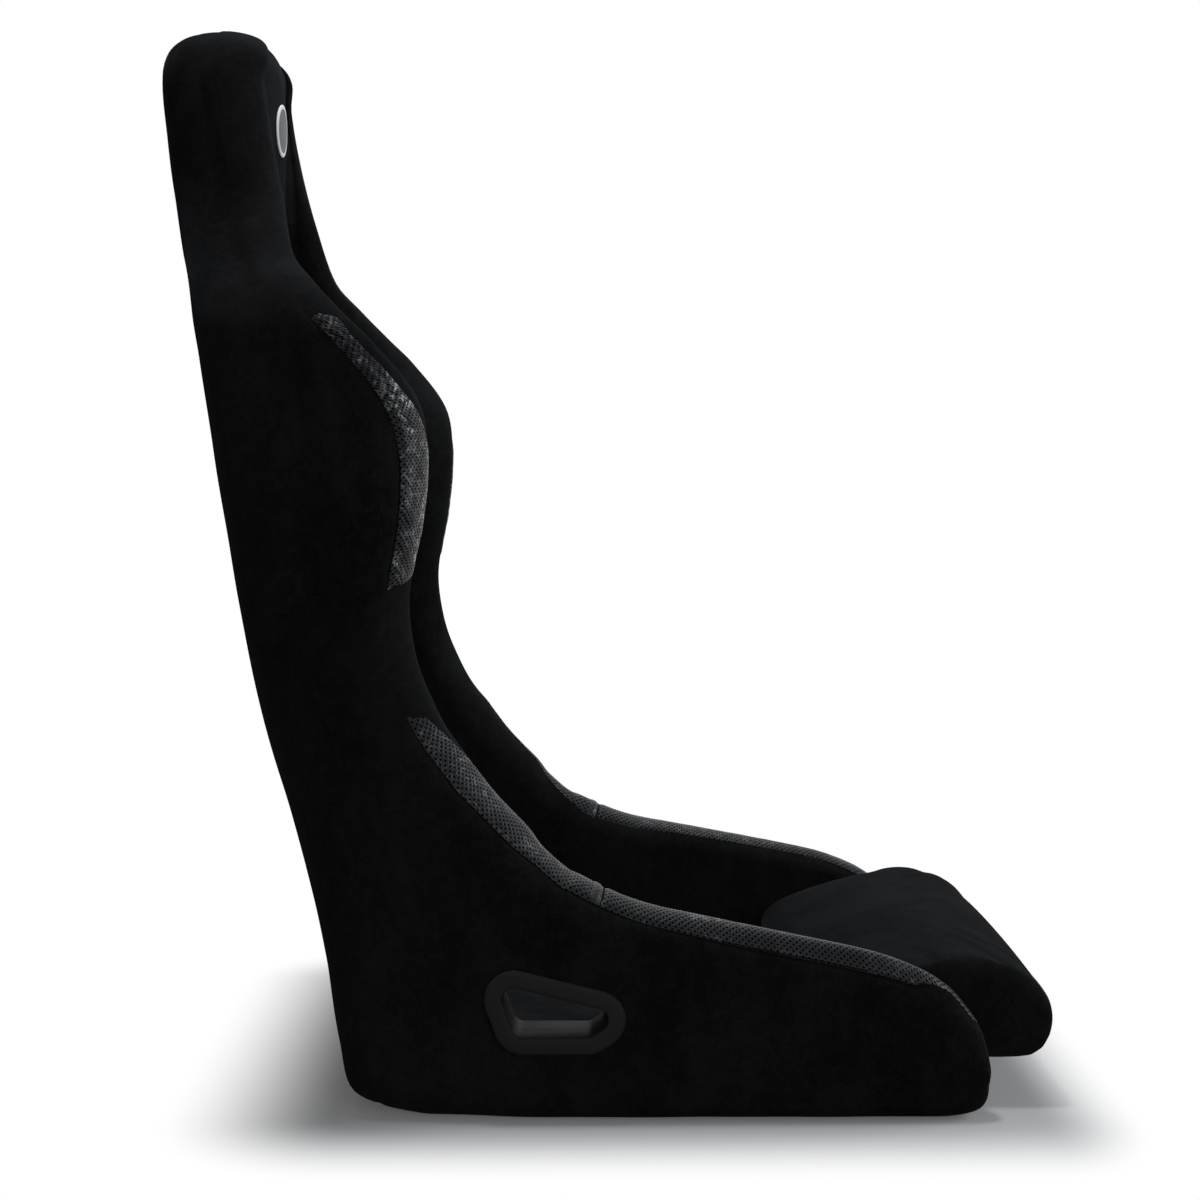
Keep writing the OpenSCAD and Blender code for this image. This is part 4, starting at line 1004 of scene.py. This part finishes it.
def crest_run(t):
    """Distance along the crest line from the seam between the two hip patches, in millimetres."""
    known = np.linspace(0, LAST, 1200)
    s = stations(known)
    line = put(s, roll_path(s, np.full((1, 1), math.pi / 2)))[:, 0]
    run = np.concatenate([[0.0], np.cumsum(np.linalg.norm(np.diff(line, axis=0), axis=1))])
    return np.interp(t, known, run) - np.interp(T_TRIM, known, run)


def crest_spread(s, share):
    """Distance over the roll from the crest line to each share across it, in millimetres."""
    path = crest_pair(s, share[:, None] * shares(13))
    return np.sign(share) * np.linalg.norm(np.diff(path, axis=1), axis=2).sum(axis=1)


def trim_piece(name, first_line, last_line, limits, puckers, gathers, seed):
    """A leather patch on the crest. The lines give its two ends, as a place along the seat at each share
    across. The limits give the share at which it ends on its inner side, at places along the seat."""
    nominal = np.linspace(first_line[0][0], first_line[-1][0], 45)
    first, last = (np.interp(nominal, *zip(*line)) for line in (first_line, last_line))
    ends = run_at([first.min(), last.max()])
    rows, places_along, spreads = [], [], []
    for w in np.linspace(0, 1, int((ends[1] - ends[0]) / LEATHER_STEP)):
        t = first + (last - first) * w
        s = stations(t)
        share = -1 + (nominal + 1) * (np.interp(t, *zip(*limits)) + 1) / (nominal[-1] + 1)
        rows.append(put(s, crest_pair(s, share[:, None]))[:, 0])
        places_along.append(t)
        spreads.append(crest_spread(s, share))
    grid, run = np.array(rows), crest_run(np.array(places_along))
    normals = surface_normals(grid)
    distance, along, across = edge_distance(grid)
    near = lambda value, width: np.exp(-(value / width) ** 2)
    height = PATCH_RISE * (1 - near(distance, 2.6)) - PATCH_SINK
    height += np.interp(run, [-.1, .6, 8.2, 9.2], [0, .5, .5, 0])           # the doubled band at the seam
    crease = ripple(grid, 0.055, seed) + .5 * ripple(grid, .13, seed + 5)
    height += puckers * crease * (1 - near(distance, 6))
    # gathers slant away from the outer seam, and are strongest on the upper part
    pulled = np.stack([along + .7 * across, .3 * across, 0 * along], -1)
    folds = .5 - near(ripple(pulled, .075, seed + 9), .13)
    strong = np.clip(.6 + 1.2 * ripple(pulled, .014, seed + 14), 0, 1) * (.45 + .55 * along / along.max())
    height += .8 * gathers * strong * near(across - 6.5, 3.6) * np.clip((along - 60) / 60, 0, 1)
    height += gathers * folds * strong * near(across, 16) * (1 - near(distance, 2.0))
    charts = np.stack([np.array(spreads), run], -1)
    return thick_sheet(name, grid + normals * height[..., None], normals, LEATHER, charts)


# ---------------------------------------------------------------- badge

BADGE_WIDE, BADGE_HIGH = 35.0, 24.0        # half-width and half-height
# Shares of the radius and heights over the face, from the foot over the raised ring to the middle
BADGE_PROFILE = ((1.0, .1), (1.0, .8), (.985, 1.25), (.95, 1.5), (.90, 1.55), (.86, 1.5), (.84, 1.25),
                 (.80, 1.1), (.6, 1.15), (.4, 1.2), (.2, 1.22), (.02, 1.22))


def badge_piece():
    """A plain domed oval on the face of the head part, with a raised ring."""
    rise = BADGE_HIGH / STEPS[int(T_BADGE)]
    angles = np.linspace(0, 2 * math.pi, 96, endpoint=False)
    rows, charts = [], []
    for radius, height in BADGE_PROFILE:
        across, up = radius * np.cos(angles), radius * np.sin(angles)
        s = stations(T_BADGE + rise * up)
        x = BADGE_WIDE * across[:, None]
        f = np.minimum(np.abs(x) / s.foot, 1)
        rows.append(put(s, pair(x, s.level + s.crown * (1 - f * f) + GAP + height))[:, 0])
        charts.append(np.stack([BADGE_WIDE * across, BADGE_HIGH * up], 1))
    return closed_skin("badge_dome", np.array(rows), charts=np.array(charts).reshape(-1, 2), smooth_angle=60)


def badge_finish(name, colours):
    """A plain dark oval inside a pale ring."""
    s = Shader(name)
    x, y = s.chart("X") / (BADGE_WIDE * MM), s.chart("Y") / (BADGE_HIGH * MM)
    ring = (x * x + y * y).root().ramp(.835, .85)
    scuffs = s.noise(s.place(), 160.0, 3.0, 0.6)
    pale = s.mix(scuffs, tint(colours.ring, .85), colours.ring)
    dark = s.mix(scuffs, (0.010, 0.010, 0.011), (0.030, 0.031, 0.034))
    return s.finish(Base_Color=s.mix(ring, dark, pale), Roughness=0.38 + 0.2 * scuffs,
                    Normal=s.bump(scuffs, 0.0001, 0.3), Specular_IOR_Level=0.25)


# ---------------------------------------------------------------- stage

# The lens in pixels of the frame, and how far from its middle the lines across the seat vanish
FRAME_PIXELS, LENS_PIXELS, VANISH_BESIDE, VANISH_ABOVE = 1200, 2335, 22, 145
SENSOR, CAMERA_Y, CAMERA_Z = 36.0, 0.060, 0.5595
WHITE = (1.0, 1.0, 1.0)
# The seat's footprint, and the distances from it over which the painted shadow round it fades into the plain
# white floor, in metres
FOOT_SIDE, FOOT_REAR, FOOT_FRONT = 0.262, 0.25, 0.325
SHADOW_START, SHADOW_END = 0.012, 0.17


def floor_paper(colours):
    """Floor painted darker round the seat's footprint, a painted shadow over the seat's real one, and plain
    white further out.
    """
    s = Shader("floor_paper")
    # painted shadow: round the seat the floor has half its colour, so that the seat's shadow shows darker
    bounce, darkened_paper = (s.node("ShaderNodeBsdfDiffuse", {}, {"Color": tint(colours.floor, f)}) for f in (.4, .5))
    glow = s.node("ShaderNodeEmission", {}, {"Color": WHITE, "Strength": 0.07})
    lit_darkened_paper = s.node("ShaderNodeAddShader", {}, {0: darkened_paper, 1: glow})
    white = s.node("ShaderNodeEmission", {}, {"Color": WHITE, "Strength": 1.0})
    where = s.place()
    x, y = s.part(where, "X"), s.part(where, "Y")
    beside = (abs(x) - FOOT_SIDE).most(0.0)
    beyond = (y - FOOT_REAR).most(-1.8 * (y + FOOT_FRONT)).most(0.0)
    # far fades the painted shadow round the footprint into plain white with the distance from it
    far = (beside * beside + beyond * beyond).root().ramp(SHADOW_START, SHADOW_END)
    return s.end(s.mix_surfaces(s.seen(), bounce, s.mix_surfaces(far, lit_darkened_paper, white)))


def studio_world():
    """White where it shows, and a soft cool light on the seat."""
    s = Shader("studio", "World")
    soft, white = (s.node("ShaderNodeBackground", {}, {"Color": colour, "Strength": strength})
                   for colour, strength in (((0.92, 0.96, 1.0), 0.16), (WHITE, 1.0)))
    return s.end(s.mix_surfaces(s.seen(), soft, white))


def lamp(name, at, target, size, power, colour=WHITE):
    light = bpy.data.lights.new(name, "AREA")
    light.shape, light.size, light.energy, light.color = "SQUARE", size, power, colour
    made = linked(name, light)
    made.location = at
    made.rotation_euler = (Vector(target) - Vector(at)).to_track_quat("-Z", "Y").to_euler()


# ---------------------------------------------------------------- operators

class SEAT_OT_stage(Operator):
    """Sets up the floor, the lights and the camera"""
    bl_idname = "seat.stage"
    bl_label = "Floor, Lights and Camera"

    def execute(self, context):
        scene = context.scene
        scene.view_settings.view_transform = "Standard"
        half, below = 6000, -.6
        corners = [(x * half, y * half, below) for x, y in ((-1, -1), (1, -1), (1, 1), (-1, 1))]
        floor = mesh_object("floor", corners, [(0, 1, 2, 3)])
        floor.data.materials.append(floor_paper(scene.seat_colours))
        scene.world = studio_world()

        lamp("softbox_top", (1.6, -0.05, 2.7), target=(0, 0, .3), size=2.4, power=28)
        lamp("softbox_front", (.4, -2.9, 1.5), target=(0, 0, .4), size=1.8, power=55, colour=(.90, .95, 1))
        lamp("striplight_above", (-.15, .25, 2.8), target=(-.1, .2, .6), size=.4, power=26,
             colour=(.92, .96, 1))
        lamp("softbox_side", (-3.2, -.9, .7), target=(0, 0, .45), size=2.2, power=32)

        view = bpy.data.cameras.new("camera")
        view.sensor_width, view.lens = SENSOR, SENSOR * LENS_PIXELS / FRAME_PIXELS
        camera = linked("camera", view)
        pitch = math.atan2(VANISH_ABOVE, LENS_PIXELS)
        yaw = math.atan2(VANISH_BESIDE * math.cos(pitch), LENS_PIXELS)
        level = math.cos(pitch)
        forward = Vector((level * math.cos(yaw), -level * math.sin(yaw), -math.sin(pitch)))
        camera.location = (-scene.seat_sizes.camera_distance, CAMERA_Y, CAMERA_Z)
        camera.rotation_euler = forward.to_track_quat("-Z", "Y").to_euler()
        scene.camera = camera
        return {"FINISHED"}


class SEAT_OT_covers(Operator):
    """Makes the fabric covers of the sides and the back"""
    bl_idname = "seat.covers"
    bl_label = "Side and Back Covers"

    def execute(self, context):
        sizes, colours = context.scene.seat_sizes, context.scene.seat_colours
        finish = suede("suede_covers", colours)
        seat_pair(side_cover(sizes), "side_cover", finish)
        seat_piece(back_cover(sizes), ["back_cover"], finish)
        return {"FINISHED"}


class SEAT_OT_bolsters(Operator):
    """Makes the foam bolsters along the crests"""
    bl_idname = "seat.bolsters"
    bl_label = "Bolsters"

    def execute(self, context):
        sizes, colours = context.scene.seat_sizes, context.scene.seat_colours
        finish = suede("suede_bolsters", colours)
        hip = cut_lap_slot(bolster("hip_roll_left", 0, T_WAIST, sizes))
        shoulder = bolster("shoulder_roll_left", T_WAIST, T_HEAD, sizes)
        seat_pair(hip, "hip_bolster", finish)
        seat_pair(shoulder, "shoulder_bolster", finish)
        return {"FINISHED"}


class SEAT_OT_headrest(Operator):
    """Makes the padded front and top of the head part, and its badge"""
    bl_idname = "seat.headrest"
    bl_label = "Headrest and Badge"

    def execute(self, context):
        sizes, colours = context.scene.seat_sizes, context.scene.seat_colours
        seat_piece(head_pad(sizes), ["headrest_pad", "headrest_cap"], suede("suede_head", colours))
        seat_piece(badge_piece(), ["head_badge"], badge_finish("badge_oval", colours))
        return {"FINISHED"}


class SEAT_OT_cushions(Operator):
    """Makes the cushions of the seat and the back"""
    bl_idname = "seat.cushions"
    bl_label = "Cushions"

    def execute(self, context):
        finish = suede("suede_cushions", context.scene.seat_colours)
        for name, node, start, end, outward in (              # outward is the way in which the cover swells
                ("seat_pad", "seat_cushion", T_SEAT, T_SEAT_END, (0, -.1, 1)),
                ("lumbar_pad", "lumbar_cushion", T_LUMBAR_START, T_LUMBAR - PAD_GAP, (0, -.8, .6)),
                ("back_pad", "back_cushion", T_LUMBAR + PAD_GAP, T_PANEL - PAD_GAP, (0, -1, .1)),
                ("harness_pad", "harness_panel", T_PANEL + PAD_GAP, T_HEAD - .04, (0, -1, .1))):
            piece = stuffed(pad_form(name, start, end), outward, reach=5.0)
            if node == "harness_panel":
                cut_shoulder_slots(piece, 3, 70)
            seat_piece(piece, [node], finish)
        thigh = stuffed(thigh_form(), outward=(0, -.7, .7), reach=6.0)
        seat_piece(thigh, ["thigh_cushion"], finish)
        return {"FINISHED"}


class SEAT_OT_trims(Operator):
    """Makes the perforated leather patches on the crests"""
    bl_idname = "seat.trims"
    bl_label = "Leather Trims"

    def execute(self, context):
        sizes, colours = context.scene.seat_sizes, context.scene.seat_colours
        smooth = perforated_leather("leather_taut", colours, sizes, 0.5)
        creased = perforated_leather("leather_creased", colours, sizes, 1.6)
        # name, node, finish, puckers, gathers, seed, lines of the two ends, and limits on the inner side
        trims = (
            ("shoulder_patch_left", "shoulder_trim", creased, 0.9, 3.6, 21.0,
             [(-1, 18.1), (-.5, 18.13), (-.06, 18.22)],
             [(-1, 22.74), (-.85, 22.84), (-.6, 22.90), (-.35, 22.88), (-.18, 22.8), (-.06, 22.62)],
             [(19.8, -.03), (20.4, -.2), (20.8, -.37), (21.1, -.5), (21.7, -.58), (22.1, -.6), (22.4, -.55),
              (22.7, -.48)]),
            ("hip_patch_rear_left", "hip_trim_rear", smooth, 0.25, 0.6, 22.0,
             [(-1, T_TRIM + .012), (.7, T_TRIM + .012)],
             [(-1, 15.62), (-.6, 15.5), (-.35, 15.0), (-.15, 14.3), (0, 13.8), (.1, 12.9), (.2, 12.0),
              (.3, 11.2), (.4, 10.6), (.5, 10.1), (.6, 9.7), (.7, 9.3)], [(8.8, .64), (LAST, .64)]),
            ("hip_patch_front_left", "hip_trim_front", smooth, 0.2, 0.3, 23.0,
             [(-1, 4.8), (-.85, 4.5), (-.7, 4.15), (-.6, 3.8), (-.52, 3.2), (-.45, 2.6), (-.35, 2.2),
              (.1, 2.12), (.25, 2.6), (.45, 3.6)],
             [(-1, T_TRIM - .012), (.45, T_TRIM - .012)], [(6, .54), (7.5, .56), (8.8, .64)]),
        )
        for name, node, finish, puckers, gathers, seed, first, last, limits in trims:
            piece = trim_piece(name, first, last, limits, puckers, gathers, seed)
            seat_pair(piece, node, finish)
        return {"FINISHED"}


class SEAT_OT_bezels(Operator):
    """Makes the moulded bezels round the harness slots"""
    bl_idname = "seat.bezels"
    bl_label = "Slot Bezels"

    def execute(self, context):
        finish = moulded_plastic("bezel_satin", context.scene.seat_colours)
        # profiles as (growth of the slot's outline, height); a slot's two parts meet inside the wall
        face, meet, back = HIP, HIP - WALL / 2, HIP - WALL
        outer = [(0, meet + GAP), (0, face + 1.7), (.5, face + 2.7), (1.6, face + 3.2), (4, face + 3.3),
                 (11.5, face + 3.3), (13.6, face + 2.9), (14.7, face + 2), (15, face + .9), (15, face + GAP),
                 (8, face + GAP), (2, face + GAP), (2, meet + GAP)]
        inner = [(0, meet - GAP), (0, back - 2.2), (.7, back - 3.3), (2, back - 3.6), (5.5, back - 3.6),
                 (7, back - 3), (7.5, back - 1.8), (7.5, back - .6), (2, back - .6), (2, meet - GAP)]
        meet, top = PANEL_FRONT / 2, PANEL_FRONT - 1.5
        rear = [(0, meet - GAP), (0, -2.6), (.6, -3.4), (1.8, -3.8), (9.5, -3.8), (11.4, -3.3), (12, -2.2),
                (12, -.8), (2, -.8), (2, meet - GAP)]
        front = [(0, meet + GAP), (0, top + 1.8), (.6, top + 2.6), (1.8, top + 3), (9.5, top + 3),
                 (11.4, top + 2.5), (12, top + 1.4), (12, top), (2, top), (2, meet + GAP)]
        for name, node, ring, profile in (
                ("lap_frame_outer_left", "lap_bezel_outer", lap_ring, outer),
                ("lap_frame_inner_left", "lap_bezel_inner", lap_ring, inner),
                ("harness_frame_rear_left", "shoulder_bezel_rear", slot_ring, rear),
                ("harness_frame_front_left", "shoulder_bezel_front", slot_ring, front)):
            seat_pair(ring_frame(name, ring, profile), node, finish)
        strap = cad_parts["strap_slot_bezel"]
        strap.data.materials.clear()
        strap.data.materials.append(finish)
        return {"FINISHED"}


class SEAT_OT_structure(Operator):
    """Finishes the shell, the mounting plates, the inserts and the strips"""
    bl_idname = "seat.structure"
    bl_label = "Shell and Mountings"

    def execute(self, context):
        colours = context.scene.seat_colours
        laminate = moulded_laminate("laminate_gelcoat", colours)
        plate = rolled_steel("plate_zinc", (0.36, 0.36, 0.37), 0.38, (1.0, 0.05, 1.0))
        insert = rolled_steel("insert_zinc", (0.55, 0.54, 0.50), 0.28, (1.0, 1.0, 0.1))
        for node, finish in (("shell", laminate), ("mount_plate_left", plate), ("mount_plate_right", plate),
                             ("mount_inserts", insert), ("hook_loop_strips", looped_strip("loop_tape"))):
            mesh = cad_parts[node].data
            mesh.materials.clear()
            mesh.materials.append(finish)
        return {"FINISHED"}


class SEAT_PT_upholstery(Panel):
    """Lists the seat's sizes, colours and steps"""
    bl_idname = "SEAT_PT_upholstery"
    bl_label = "Racing Seat"
    bl_space_type = "VIEW_3D"
    bl_region_type = "UI"
    bl_category = "Seat"

    def draw(self, context):
        for group in (context.scene.seat_sizes, context.scene.seat_colours):
            for key in group.bl_rna.properties.keys():
                if key not in ("rna_type", "name"):
                    self.layout.prop(group, key)
        for step in STEPS_IN_ORDER:
            self.layout.operator(step.bl_idname)


STEPS_IN_ORDER = (SEAT_OT_stage, SEAT_OT_structure, SEAT_OT_covers, SEAT_OT_bolsters, SEAT_OT_headrest,
                  SEAT_OT_cushions, SEAT_OT_trims, SEAT_OT_bezels)
CLASSES = (SeatSizes, SeatColours, *STEPS_IN_ORDER, SEAT_PT_upholstery)


def register():
    for item in CLASSES:
        bpy.utils.register_class(item)
    bpy.types.Scene.seat_sizes = PointerProperty(type=SeatSizes)
    bpy.types.Scene.seat_colours = PointerProperty(type=SeatColours)


def unregister():
    del bpy.types.Scene.seat_colours
    del bpy.types.Scene.seat_sizes
    for item in reversed(CLASSES):
        bpy.utils.unregister_class(item)


def main():
    register()
    for step in STEPS_IN_ORDER:
        group, name = step.bl_idname.split(".")
        getattr(getattr(bpy.ops, group), name)()


if __name__ == "__main__":
    main()
